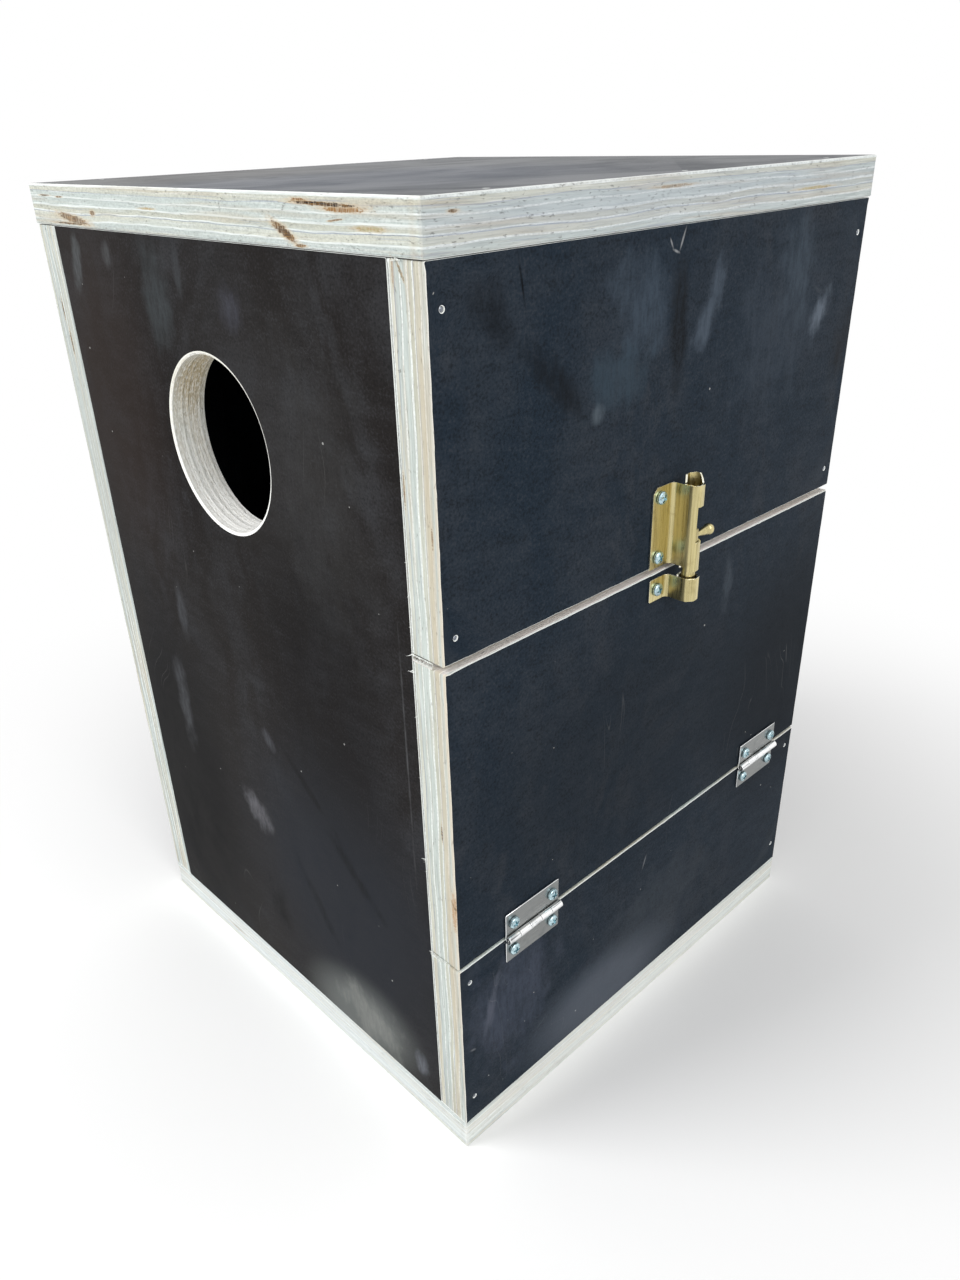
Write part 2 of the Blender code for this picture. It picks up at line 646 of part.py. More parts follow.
def add_ladder(front):
    """Welded wire mesh under the entrance: uprights against the panel, rungs welded in front."""
    wall = FRONT_FACE + PLY
    upright = wall + FIT_GAP + WIRE_RADIUS
    rung = upright + 2 * WIRE_RADIUS * WELD_SHARE
    half = LADDER_PITCH * (LADDER_COLUMNS - 1) / 2
    entrance_foot = HEIGHT - PLY - ENTRANCE_DROP - ENTRANCE_DIAMETER / 2
    top = entrance_foot - LADDER_DROP
    spaces = int((top - NEST_HEAD - LADDER_FOOT_ROOM) / LADDER_PITCH)
    low = top - LADDER_PITCH * spaces
    first, *others = [LADDER_PITCH * i - half for i in range(LADDER_COLUMNS)]
    ends = (low - LADDER_OVERHANG, top + LADDER_OVERHANG)
    form = bmesh.new()
    add_rod(form, (first, upright, ends[0]), (first, upright, ends[1]), WIRE_RADIUS, WIRE_SEGMENTS)
    ladder = add_piece("climbing_ladder", finish_mesh("climbing_ladder", form), Vector(), GALVANISED)
    uprights, rungs = bmesh.new(), bmesh.new()
    for x in others:
        add_rod(uprights, (x, upright, ends[0]), (x, upright, ends[1]), WIRE_RADIUS, WIRE_SEGMENTS)
    for i in range(spaces + 1):
        z = low + LADDER_PITCH * i
        start = (-half - LADDER_OVERHANG, rung, z)
        add_rod(rungs, start, (half + LADDER_OVERHANG, rung, z), WIRE_RADIUS, WIRE_SEGMENTS)
    for part, shape in (("rungs", rungs), ("uprights", uprights)):
        tool = add_piece("ladder_" + part, finish_mesh("ladder_" + part, shape), Vector())
        shape_with(ladder, "UNION", as_cutter(tool))
    add_staples(front, upright, half, (low, top))


def add_staples(front, upright, half, heights):
    """A staple straddles each outer upright half a pitch from the top and bottom rungs."""
    wall = FRONT_FACE + PLY
    crown = upright + WIRE_RADIUS + FIT_GAP + STAPLE_RADIUS
    leg = STAPLE_WIDTH / 2
    tip = crown - STAPLE_LENGTH
    number = 0
    legs = []
    for x in (-half, half):
        for z in (heights[0] + LADDER_PITCH / 2, heights[1] - LADDER_PITCH / 2):
            number += 1
            wire = bpy.data.curves.new(f"staple_{number}", "CURVE")
            wire.dimensions = "3D"
            wire.bevel_depth = STAPLE_RADIUS
            wire.bevel_resolution = 1
            wire.use_fill_caps = True
            route = wire.splines.new("POLY")
            corners = ((-leg, tip), (-leg, crown), (leg, crown), (leg, tip))
            route.points.add(len(corners) - 1)
            for point, (across, y) in zip(route.points, corners):
                point.co = (across, y, 0, 1)
            add_piece(f"ladder_staple_{number}", wire, Vector((x, 0, z)), GALVANISED)
            legs += [Vector((x + side, wall, z)) for side in (-leg, leg)]
    bore = STAPLE_RADIUS + FIT_GAP
    depth = wall - tip + FIT_GAP
    drill("staple_bores", (front,), legs, -Y_OUT, depth, bore, NAIL_SEGMENTS)


def add_nest_block():
    """A loose block that fills the floor, with a round dish turned in its top."""
    half_x = INSIDE_WIDTH / 2 - NEST_PLAY
    half_y = INSIDE_DEPTH / 2 - NEST_PLAY
    low, high = (-half_x, -half_y, WALL_FOOT), (half_x, half_y, NEST_HEAD)
    block = add_board("nest_block", low, high, BARE_WOOD, NEST_BEVEL)
    rim = DISH_DIAMETER / 2
    sphere = (rim**2 + DISH_DEPTH**2) / (2 * DISH_DEPTH)
    widest = math.asin(rim / sphere)
    outline = []
    for ring in range(DISH_RINGS + 1):
        angle = widest * ring / DISH_RINGS
        outline.append((sphere * math.sin(angle), sphere * (1 - math.cos(angle)) - DISH_DEPTH))
    outline += [(rim, OVERRUN), (0, OVERRUN)]
    dish = as_cutter(add_piece("nest_dish", turned_mesh("nest_dish", outline, DISH_SEGMENTS), Vector()))
    dish.location.z = NEST_HEAD
    shape_with(block, "DIFFERENCE", dish)


def build():
    clear_scene()
    door_axis = add_axis("door_hinge_axis", HINGE_AXIS.copy())
    case = add_case()
    cut_entrance(case["front_panel"])
    nail_case(case)
    door = add_door(door_axis)
    screw = screw_mesh()
    half = HINGE_LENGTH / 2
    hinges = {
        "near": FRONT_FACE + HINGE_NEAR_INSET + half,
        "far": BACK_FACE - HINGE_FAR_INSET - half,
    }
    for side, along in hinges.items():
        add_hinge(side, along, screw, door, case["lower_side_panel"], door_axis)
    body = add_bolt_body()
    keeper = add_keeper(door_axis)
    screw_bolt_on(screw, body, keeper, case["upper_side_panel"], door, door_axis)
    add_rod_and_knob()
    add_ladder(case["front_panel"])
    add_nest_block()


build()
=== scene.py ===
import math

import bmesh
import bpy
from mathutils import Matrix, Vector, noise


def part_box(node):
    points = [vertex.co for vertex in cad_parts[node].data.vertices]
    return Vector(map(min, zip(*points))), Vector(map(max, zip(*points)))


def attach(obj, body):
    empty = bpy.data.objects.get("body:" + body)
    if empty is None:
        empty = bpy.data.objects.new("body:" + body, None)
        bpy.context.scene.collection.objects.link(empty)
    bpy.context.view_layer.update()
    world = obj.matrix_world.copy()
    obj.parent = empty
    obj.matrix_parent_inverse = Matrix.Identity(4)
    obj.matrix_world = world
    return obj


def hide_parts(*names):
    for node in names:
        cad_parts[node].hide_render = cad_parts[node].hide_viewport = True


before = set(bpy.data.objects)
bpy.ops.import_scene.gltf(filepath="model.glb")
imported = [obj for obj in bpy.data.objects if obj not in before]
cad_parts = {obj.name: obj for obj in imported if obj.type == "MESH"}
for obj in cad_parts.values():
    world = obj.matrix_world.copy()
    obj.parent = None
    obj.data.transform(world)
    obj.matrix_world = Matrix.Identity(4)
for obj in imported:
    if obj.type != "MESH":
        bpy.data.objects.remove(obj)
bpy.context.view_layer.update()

# Front panel with the round entrance
# An 18 mm board of film-faced plywood: pale poplar veneers glued crosswise under a dark resin film.
# It is sawn with a fine blade, the arrises are sanded by hand and the hole is cut with a hole saw.
PLY_MM = 18
PLY = PLY_MM / 1000
MM = 0.001
WALK_STEP = 0.0024
CORNER_RADIUS = 0.0007
CORNER_STEPS = 3
SHARP_EDGE = math.radians(38)

# The arris: its rows of points by depth, the depth that it keeps, its width and how it is chipped
ARRIS_ROWS = (0, 0.00016, 0.00036, 0.00062)
ARRIS_ROOM = 0.0009
ARRIS = 0.00062
ARRIS_CURVE = 1.25
ARRIS_UNEVEN = 0.28
ARRIS_WAVES = 110
CHIP_WAVES = 420
CHIP_LEVEL = 0.40
CHIP_REACH = 0.0010
FRAYED_LEVEL = 0.15
FRAYED_REACH = CHIP_REACH * 1.6
BUTTED_ARRIS = 0.00012

# The sawn wall: how far the veneers wander and lie back, and how deep the saw marks are
VENEER_SEAM = 0.00006
THICK_VENEER = 1.2
THIN_VENEER = 0.4
SEAM_BLUR = 0.0045
THIN_SEAM_BLUR = 0.0015
CALM_RISE = 0.0016
VENEER_SWAY = 0.00062
VENEER_TREMOR = 0.00010
BACK_UNEVEN = 0.8
SAW_MARK = 0.00004
SINK_STEPS = 12
FILM_SIDE = 0
WOOD_SIDE = 1

ENTRANCE_RADIUS = 0.0395
ENTRANCE_DROP = 0.0852
ENTRANCE_STEPS = 168
HOLE_SPREAD = 2.2

WHITE_VENEER = (243, 248, 245)
CREAM_VENEER = (210, 210, 195)
GREY_VENEER = (197, 206, 202)
OLIVE_VENEER = (198, 197, 180)
TAN_VENEER = (198, 184, 160)
GLUE_LINE = (158, 164, 178)
SANDED_WOOD = (250, 252, 249)
PORE_BROWN = (118, 108, 94)

# Each veneer from the outer face inwards: thickness in mm, colour, how far it lies back, runs along
VENEERS = (
    (1.10, WHITE_VENEER, 0.00, 1),
    (2.00, CREAM_VENEER, 0.05, 0),
    (0.22, GLUE_LINE, 0.10, 0),
    (1.98, GREY_VENEER, 0.05, 0),
    (0.60, WHITE_VENEER, 0.00, 1),
    (2.70, GREY_VENEER, 0.06, 0),
    (0.80, WHITE_VENEER, 0.00, 1),
    (1.90, OLIVE_VENEER, 0.07, 0),
    (0.55, WHITE_VENEER, 0.01, 1),
    (0.30, GLUE_LINE, 0.12, 0),
    (2.50, CREAM_VENEER, 0.06, 0),
    (0.65, WHITE_VENEER, 0.00, 1),
    (2.70, GREY_VENEER, 0.05, 0),
)


def shade(colour):
    """A colour of 0 to 255 as Blender's linear colour."""
    linear = []
    for share in (part / 255 for part in colour):
        linear.append(share / 12.92 if share < 0.04045 else ((share + 0.055) / 1.055) ** 2.4)
    return (*linear, 1)


def veneer_rows():
    """Depth and set-back of every row of points through the board's thickness."""
    rows = [(depth, 0) for depth in ARRIS_ROWS]
    top = 0
    for thickness, _, back, _ in VENEERS:
        foot = top + thickness * MM
        inner = [top + VENEER_SEAM, foot - VENEER_SEAM]
        if thickness > THICK_VENEER:
            inner.insert(1, (top + foot) / 2)
        rows += [(depth, back * MM) for depth in inner if ARRIS_ROOM < depth < PLY - ARRIS_ROOM]
        top = foot
    rows += [(PLY - depth, 0) for depth in ARRIS_ROWS[::-1]]
    return rows


def rectangle_walk(low, high):
    """Places round a board's outline, each with the direction into the wood."""
    radius = CORNER_RADIUS
    centres = [
        (Vector((low.x + radius, low.y + radius)), 180),
        (Vector((high.x - radius, low.y + radius)), 270),
        (Vector((high.x - radius, high.y - radius)), 0),
        (Vector((low.x + radius, high.y - radius)), 90),
    ]
    walk = []
    for number, (centre, start) in enumerate(centres):
        for turn in range(CORNER_STEPS + 1):
            angle = math.radians(start + 90 * turn / CORNER_STEPS)
            out = Vector((math.cos(angle), math.sin(angle)))
            walk.append((centre + out * radius, -out))
        first = walk[-1][0]
        last = centres[(number + 1) % 4][0] + out * radius
        count = round((last - first).length / WALK_STEP)
        walk += [(first.lerp(last, step / count), -out) for step in range(1, count)]
    return walk


def circle_walk(centre, radius, steps):
    """Places round a bored hole, each with the direction into the wood."""
    walk = []
    for step in range(steps):
        angle = math.tau * step / steps
        out = Vector((math.cos(angle), math.sin(angle)))
        walk.append((centre + out * radius, out))
    return walk


def ripple(spot, depth, across, through, seed):
    """Noise by how often it repeats in a metre across a board's outline and through its thickness."""
    return noise.noise(Vector((spot.x * across, spot.y * across, depth * through + seed)))


def arris_width(spot, seed, frayed, butted):
    """How wide the sanded arris is here: uneven, chipped, torn at a frayed place, sharp where butted."""
    if any(abs(spot[axis] - value) < CORNER_RADIUS for axis, value in butted):
        return BUTTED_ARRIS
    lively = ripple(spot, 0, ARRIS_WAVES, 0, seed)
    sudden = ripple(spot, 0, CHIP_WAVES, 0, seed + 7)
    level, reach = CHIP_LEVEL, CHIP_REACH
    if any((spot - centre).length < radius for centre, radius in frayed):
        level, reach = FRAYED_LEVEL, FRAYED_REACH
    return ARRIS * (1 + ARRIS_UNEVEN * lively) + max(0, sudden - level) * reach


def bridge(form, loops, side):
    """Join closed loops of points, each to the next, by smooth four-sided faces."""
    for upper, lower in zip(loops, loops[1:]):
        for i, corner in enumerate(upper):
            face = form.faces.new((upper[i - 1], corner, lower[i], lower[i - 1]))
            face.material_index = side
            face.smooth = True


def add_sawn_wall(form, walk, place, shift, seed, turned_over, spread=1.0, frayed=(), butted=()):
    """The sawn wall of an outline or hole, row by row through the veneers.

    spread is how much wider than deep its sanded arris is.
    """
    sheet = form.verts.layers.float_vector["sheet"]
    rings = []
    for depth, back in veneer_rows():
        ring = []
        veneer = PLY - depth if turned_over else depth
        inner = min(depth, PLY - depth)
        calm = min(1, max(0, inner - ARRIS_ROOM) / CALM_RISE)
        for spot, inward in walk:
            slow = ripple(spot, depth, 17, 90, seed)
            quick = ripple(spot, depth, 120, 300, seed)
            rough = ripple(spot, depth, 520, 700, seed)
            wander = calm * (VENEER_SWAY * slow + VENEER_TREMOR * quick)
            inset = back * (1 + BACK_UNEVEN * quick) + calm * SAW_MARK * (1 + rough)
            width = ARRIS
            if spread == 1:
                width = arris_width(spot, seed + (3 if depth > PLY / 2 else 0), frayed, butted)
            if inner < width:
                inset += spread * width * (1 - inner / width) ** ARRIS_CURVE
            point = spot + inward * inset
            vert = form.verts.new(place(point, depth + wander))
            vert[sheet] = (spot.x + shift, spot.y, veneer)
            ring.append(vert)
        rings.append(ring)
    bridge(form, rings, WOOD_SIDE)
    return rings[0], rings[-1]


def add_sink(form, centre, rings, place, shift):
    """A pit or pilot hole: rings of radius and depth from the face to its closed foot."""
    sheet = form.verts.layers.float_vector["sheet"]
    loops = []
    for radius, depth in rings:
        loop = []
        for spot, _ in circle_walk(centre, radius, SINK_STEPS):
            vert = form.verts.new(place(spot, depth))
            vert[sheet] = (spot.x + shift, spot.y, depth)
            loop.append(vert)
        loops.append(loop)
    bridge(form, loops, WOOD_SIDE)
    form.faces.new(loops[-1]).material_index = WOOD_SIDE
    return loops[0]


def close_face(form, loops):
    """Fill a flat face between its outline and the holes in it."""
    edges = [form.edges.get((loop[i - 1], loop[i])) for loop in loops for i in range(len(loop))]
    filled = bmesh.ops.triangle_fill(form, use_beauty=True, edges=edges)
    for item in filled["geom"]:
        if isinstance(item, bmesh.types.BMFace):
            item.material_index = FILM_SIDE
            item.smooth = False


def keep_mesh(name, mesh, body, nodes):
    """A finished mesh as a piece of the object that stands for its CAD nodes."""
    mesh.name = name
    mesh.set_sharp_from_angle(angle=SHARP_EDGE)
    piece = bpy.data.objects.new(name, mesh)
    bpy.context.scene.collection.objects.link(piece)
    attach(piece, body)
    if nodes:
        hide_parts(*nodes)
    return piece


def finish_piece(name, form, materials, body, nodes):
    """Turn a bmesh into a mesh with outward faces, and keep it as a piece."""
    bmesh.ops.recalc_face_normals(form, faces=form.faces)
    mesh = bpy.data.meshes.new(name)
    form.to_mesh(mesh)
    form.free()
    for material in materials:
        mesh.materials.append(material)
    return keep_mesh(name, mesh, body, nodes)


def middle_of(node):
    """The middle of a CAD node's box."""
    near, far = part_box(node)
    return (near + far) / 2


def numbered(stem, count):
    """The names of a row of like nodes."""
    return [f"{stem}_{number}" for number in range(1, count + 1)]


def saw_board(
    node,
    across,
    outer,
    materials,
    shift,
    painted_blue,
    seed,
    body="case",
    turned_over=False,
    frayed=(),
    butted=(),
    holes=(),
    sinks=(),
):
    """One board in its CAD node's place, with pits for its nails and pilot holes for its screws.

    across is the axis through the board and outer the way its film looks along it. shift is the
    place of its pattern in the sheet, and the blue share after it is a painted reflection: how far
    its whole film is painted the blue of the sky.
    """
    low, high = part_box(node)
    first, second = [axis for axis in range(3) if axis != across]
    face = high[across] if outer > 0 else low[across]

    def place(point, depth):
        """A place on the sheet and a depth in it as a place in the frame."""
        spot = Vector()
        spot[first] = point.x
        spot[second] = point.y
        spot[across] = face - outer * depth
        return spot

    form = bmesh.new()
    form.verts.layers.float_vector.new("sheet")
    limits = {
        "left": (0, low[first]),
        "right": (0, high[first]),
        "foot": (1, low[second]),
        "head": (1, high[second]),
    }
    ends = [limits[word] for word in butted]
    walk = rectangle_walk(Vector((low[first], low[second])), Vector((high[first], high[second])))
    outside, inside = add_sawn_wall(form, walk, place, shift, seed, turned_over, 1, frayed, ends)
    fronts, backs = [outside], [inside]
    for centre, radius in holes:
        walk = circle_walk(centre, radius, ENTRANCE_STEPS)
        outside, inside = add_sawn_wall(form, walk, place, shift, seed + 5, turned_over, HOLE_SPREAD)
        fronts.append(outside)
        backs.append(inside)
    for nodes, rings in sinks:
        for pinned in nodes:
            middle = middle_of(pinned)
            centre = Vector((middle[first], middle[second]))
            fronts.append(add_sink(form, centre, rings, place, shift))
    close_face(form, fronts)
    close_face(form, backs)
    board = finish_piece("sawn_" + node, form, materials, body, [node])
    # The blue share, a painted reflection of the sky, goes on the board's points for its film
    tone = board.data.attributes.new("painted_blue", "FLOAT", "POINT")
    tone.data.foreach_set("value", [painted_blue] * len(board.data.vertices))
    return board


def place_node(tree, kind, feeds=None, **traits):
    """Add a node: a feed that is a socket is linked, and any other value is set."""
    node = tree.nodes.new(kind)
    for trait, value in traits.items():
        setattr(node, trait, value)
    for socket, value in (feeds or {}).items():
        if isinstance(value, bpy.types.NodeSocket):
            tree.links.new(value, node.inputs[socket])
        else:
            node.inputs[socket].default_value = value
    return node


def feed_group(tree, group, feeds):
    """Place a node group and feed its named inputs."""
    return place_node(tree, "ShaderNodeGroup", feeds, node_tree=group).outputs


def mix_colour(tree, share, under, over, mode="MIX"):
    """Lay one colour over another by a share."""
    feeds = {0: share, 6: under, 7: over}
    return place_node(tree, "ShaderNodeMix", feeds, data_type="RGBA", blend_type=mode).outputs[2]


def figure(tree, operation, *values):
    """A sum on values or sockets."""
    node = place_node(tree, "ShaderNodeMath", dict(enumerate(values)), operation=operation)
    return node.outputs[0]


def times(tree, value, factor):
    """A value multiplied by another."""
    return figure(tree, "MULTIPLY", value, factor)


def plus(tree, value, more):
    """A value with another added."""
    return figure(tree, "ADD", value, more)


def minus(tree, value, less):
    """A value with another taken off."""
    return figure(tree, "SUBTRACT", value, less)


def arrow_figure(tree, operation, *values):
    """A sum on vectors or sockets; a length comes out as one number."""
    node = place_node(tree, "ShaderNodeVectorMath", dict(enumerate(values)), operation=operation)
    return node.outputs["Value" if operation == "LENGTH" else "Vector"]


def arrow(tree, x=0, y=0, z=0):
    """A vector of three values or sockets."""
    return place_node(tree, "ShaderNodeCombineXYZ", {0: x, 1: y, 2: z}).outputs[0]


def band(tree, value, low, high, start=0.0, end=1.0):
    """Map a range of a value smoothly onto another."""
    feeds = {"Value": value, "From Min": low, "From Max": high, "To Min": start, "To Max": end}
    node = place_node(tree, "ShaderNodeMapRange", feeds, interpolation_type="SMOOTHSTEP")
    return node.outputs["Result"]


def stretched_noise(tree, place, stretch, detail=3.0, roughness=0.55):
    """Noise whose size differs along each direction, stretch being how often it repeats in a metre."""
    scaled = arrow_figure(tree, "MULTIPLY", place, stretch)
    feeds = {"Vector": scaled, "Scale": 1.0, "Detail": detail, "Roughness": roughness}
    return place_node(tree, "ShaderNodeTexNoise", feeds).outputs["Fac"]


def toned(tree, colour, tone):
    """A colour made darker or lighter by a factor."""
    grey = place_node(tree, "ShaderNodeCombineColor", {0: tone, 1: tone, 2: tone}).outputs[0]
    return mix_colour(tree, 1.0, colour, grey, "MULTIPLY")


def name_inputs(group, inputs):
    """Give a group its named inputs, each of the kind that its value shows."""
    for label, value in inputs.items():
        if isinstance(value, tuple):
            kind = "Vector" if len(value) == 3 else "Color"
        else:
            kind = "Int" if isinstance(value, int) else "Float"
        socket = group.interface.new_socket(label, in_out="INPUT", socket_type="NodeSocket" + kind)
        socket.default_value = value


def start_group(name, inputs, outputs):
    """An empty shader group with named inputs and outputs."""
    group = bpy.data.node_groups.new(name, "ShaderNodeTree")
    name_inputs(group, inputs)
    for label, kind in outputs.items():
        group.interface.new_socket(label, in_out="OUTPUT", socket_type="NodeSocket" + kind)
    entry = group.nodes.new("NodeGroupInput")
    leave = group.nodes.new("NodeGroupOutput")
    return group, entry.outputs, leave.inputs


def veneer_group():
    """Colour and relief of the sawn veneers by their depth in the sheet."""
    group, given, result = start_group(
        "sawn veneers",
        {"Sheet": (0, 0, 0), "Warmth": 0.3},
        {"Color": "Color", "Height": "Float"},
    )
    place = given["Sheet"]
    depth = place_node(group, "ShaderNodeSeparateXYZ", {0: place}).outputs[2]
    tremor = minus(group, stretched_noise(group, place, (300, 300, 300), 3.0), 0.5)
    swell = minus(group, stretched_noise(group, place, (18, 18, 70), 3.0, 0.45), 0.5)
    share = figure(group, "DIVIDE", depth, PLY)
    middle = figure(group, "ABSOLUTE", minus(group, share, 0.5))
    swell = times(group, swell, band(group, middle, 0.46, 0.30, 0.0, 0.22))
    wavy = plus(group, share, times(group, tremor, 0.014))
    wavy = plus(group, wavy, swell)
    ramp = place_node(group, "ShaderNodeValToRGB", {"Fac": wavy})
    stops = []
    top = 0
    for thickness, colour, _, along in VENEERS:
        foot = top + thickness / PLY_MM
        edge = SEAM_BLUR if thickness > THIN_VENEER else THIN_SEAM_BLUR
        stops += [(top + edge, colour, along), (foot - edge, colour, along)]
        top = foot
    elements = ramp.color_ramp.elements
    for number, (position, colour, along) in enumerate(stops):
        stop = elements[number] if number < 2 else elements.new(min(1, position))
        stop.position = position
        stop.color = (*shade(colour)[:3], along)
    fibres_a = stretched_noise(group, place, (45, 850, 1500), 5.0, 0.66)
    fibres_b = stretched_noise(group, place, (850, 45, 1500), 5.0, 0.66)
    feeds = {0: ramp.outputs["Alpha"], 2: fibres_b, 3: fibres_a}
    fibres = place_node(group, "ShaderNodeMix", feeds).outputs[0]
    colour = ramp.outputs["Color"]
    patches = stretched_noise(group, place, (13, 13, 330), 3.0)
    warm = times(group, band(group, patches, 0.50, 0.70), given["Warmth"])
    colour = mix_colour(group, warm, colour, shade(TAN_VENEER))
    grey = times(group, band(group, patches, 0.50, 0.30), 0.45)
    colour = mix_colour(group, grey, colour, shade(GREY_VENEER))
    sheets = stretched_noise(group, place, (26, 26, 1300), 4.0, 0.62)
    colour = mix_colour(group, band(group, sheets, 0.57, 0.72, 0.0, 0.62), colour, shade(GLUE_LINE))
    colour = mix_colour(group, band(group, sheets, 0.46, 0.32, 0.0, 0.45), colour, shade(SANDED_WOOD))
    colour = toned(group, colour, band(group, fibres, 0.30, 0.66, 0.74, 1.05))
    pits = stretched_noise(group, place, (330, 330, 1300), 3.0, 0.7)
    pitted = times(group, band(group, pits, 0.62, 0.72), 0.55)
    colour = mix_colour(group, pitted, colour, shade(PORE_BROWN))
    sanded = band(group, middle, 0.478, 0.494, 0.0, 0.85)
    colour = mix_colour(group, sanded, colour, shade(SANDED_WOOD))
    group.links.new(colour, result["Color"])
    height = minus(group, fibres, times(group, pitted, 1.6))
    height = minus(group, height, times(group, sheets, 0.6))
    group.links.new(height, result["Height"])
    return group


# A mark: the face it lies on by the way that looks, its middle, reach, lean, colour and strength
MARK_INPUTS = {
    "Color": (1, 1, 1, 1),
    "Place": (0, 0, 0),
    "Centre": (0, 0, 0),
    "Reach": (0.01, 0.01, 0.01),
    "Face": (1, 0, 0),
    "Lean": 0.0,
    "Mark": (0.1, 0.1, 0.1, 1),
    "Strength": 0.5,
}


def start_mark(name):
    """A group for one mark, and how far a point lies from its middle in its own turned reach."""
    group, given, result = start_group(name, MARK_INPUTS, {"Color": "Color"})
    away = arrow_figure(group, "SUBTRACT", given["Place"], given["Centre"])
    feeds = {"Vector": away, "Axis": given["Face"], "Angle": given["Lean"]}
    away = place_node(group, "ShaderNodeVectorRotate", feeds, rotation_type="AXIS_ANGLE").outputs[0]
    span = arrow_figure(group, "LENGTH", arrow_figure(group, "DIVIDE", away, given["Reach"]))
    return group, given, result["Color"], span


def knot_group():
    """One knot: a dark ragged core with rust in it, hatched by the saw, in a stained rim."""
    group, given, result, span = start_mark("knot")
    place = given["Place"]
    torn = minus(group, stretched_noise(group, place, (300, 300, 1500), 4.0, 0.7), 0.5)
    span = plus(group, span, times(group, torn, 1.7))
    stain = times(group, band(group, span, 0.7, 1.6, 0.7, 0.0), given["Strength"])
    core = times(group, band(group, span, 0.70, 0.96, 1.0, 0.0), given["Strength"])
    hatch = stretched_noise(group, place, (1500, 1500, 260), 2.0)
    core = times(group, core, band(group, hatch, 0.36, 0.54, 0.50, 1.0))
    streaks = stretched_noise(group, place, (170, 170, 2200), 2.0, 0.6)
    rust = mix_colour(group, 0.5, given["Mark"], shade(RUST_STAIN))
    inner = mix_colour(group, band(group, streaks, 0.46, 0.60), given["Mark"], rust)
    colour = mix_colour(group, stain, given["Color"], shade(PALE_STAIN))
    group.links.new(mix_colour(group, core, colour, inner), result)
    return group


def smear_and_reflection_group():
    """One soft ragged mark on a face, streaked along its lean: dust and rubs, and also painted glare and
    painted dark reflections.
    """
    group, given, result, span = start_mark("smear and painted reflection")
    place = given["Place"]
    ragged = minus(group, stretched_noise(group, place, (70, 70, 50), 4.0, 0.62), 0.5)
    span = plus(group, span, times(group, ragged, 1.8))
    fine = stretched_noise(group, place, (420, 420, 110), 4.0, 0.66)
    mask = times(group, band(group, span, 0.20, 1.0, 1.0, 0.0), given["Strength"])
    mask = times(group, mask, band(group, fine, 0.36, 0.62, 0.55, 1.0))
    group.links.new(mix_colour(group, mask, given["Color"], given["Mark"]), result)
    return group


def tint_group():
    """One even tone over a wide place, fading softly at its rim."""
    group, given, result, span = start_mark("tint")
    mask = times(group, band(group, span, 0.25, 1.0, 1.0, 0.0), given["Strength"])
    group.links.new(mix_colour(group, mask, given["Color"], given["Mark"]), result)
    return group


def lay_marks(tree, group, place, colour, marks):
    """Lay a list of marks over a colour: face, centre, reach, lean in degrees, mark colour, strength."""
    for face, centre, reach, lean, mark, strength in marks:
        feeds = {"Color": colour, "Place": place, "Centre": centre, "Reach": reach, "Face": face}
        feeds.update({"Lean": math.radians(lean), "Mark": shade(mark), "Strength": strength})
        colour = feed_group(tree, group, feeds)["Color"]
    return colour


def marks_on(face, level, depth, rows):
    """Marks of one face from rows of middle, reach, lean, colour and strength on it."""
    across = face.index(1)
    marks = []
    for along, up, wide, tall, *look in rows:
        middle, reach = [along, up], [wide, tall]
        middle.insert(across, level)
        reach.insert(across, depth)
        marks.append((face, middle, reach, *look))
    return marks


# Knots and stains where the photograph shows them, one painted shadow among them, and a few on the
# sides that it doesn't show
# Each row: along and up the face, half length and half height, lean in degrees, colour, strength
FRONT_WAY = (0, 1, 0)
SIDE_WAY = (1, 0, 0)
ROOF_FRONT = -0.1436
ROOF_SIDE = 0.1446
FRONT_FACE = -0.1430
KNOT_DEPTH = 0.004
DARK_KNOT = (46, 34, 26)
BROWN_KNOT = (98, 76, 54)
RUST_KNOT = (132, 92, 46)
OLIVE_KNOT = (176, 168, 132)
RUST_STAIN = (164, 122, 64)
PALE_STAIN = (206, 188, 160)
PINK_KNOT = (190, 152, 118)
MAUVE_KNOT = (128, 106, 104)
# The colour of a painted shadow, for the notch under the torn tuft at the roof
PAINTED_SHADOW_NOTCH = (112, 106, 84)
KNOTS = marks_on(
    FRONT_WAY,
    ROOF_FRONT,
    KNOT_DEPTH,
    (
        (0.1060, 0.4352, 0.0125, 0.00110, 0, RUST_KNOT, 0.95),
        (0.0815, 0.4374, 0.0060, 0.00090, 0, RUST_KNOT, 1.0),
        (0.0950, 0.4366, 0.0200, 0.00075, -1, DARK_KNOT, 1.0),
        (0.1010, 0.4318, 0.0045, 0.00035, 6, BROWN_KNOT, 0.8),
        (0.0705, 0.4272, 0.0090, 0.00185, -24, BROWN_KNOT, 1.0),
        (0.0803, 0.4230, 0.0034, 0.00065, 0, BROWN_KNOT, 0.9),
        (-0.1010, 0.4254, 0.0170, 0.00190, -6, BROWN_KNOT, 0.9),
        (-0.1060, 0.4234, 0.0180, 0.00045, 0, DARK_KNOT, 0.9),
        (-0.0800, 0.4286, 0.0026, 0.00140, 0, BROWN_KNOT, 0.9),
        (-0.1290, 0.4350, 0.0060, 0.00038, 0, DARK_KNOT, 0.9),
        (-0.1120, 0.4346, 0.0040, 0.00036, 0, DARK_KNOT, 0.9),
        (-0.0280, 0.4318, 0.0070, 0.00045, 0, OLIVE_KNOT, 0.8),
        (0.1190, 0.4298, 0.0085, 0.00090, 0, OLIVE_KNOT, 0.9),
    ),
)
KNOTS += marks_on(
    SIDE_WAY,
    ROOF_SIDE,
    KNOT_DEPTH,
    (
        (-0.1306, 0.4350, 0.0026, 0.00060, 0, BROWN_KNOT, 0.9),
        (-0.0160, 0.4356, 0.0130, 0.00060, 0, BROWN_KNOT, 0.5),
        (0.0900, 0.4290, 0.0160, 0.00060, 0, OLIVE_KNOT, 0.8),
    ),
)
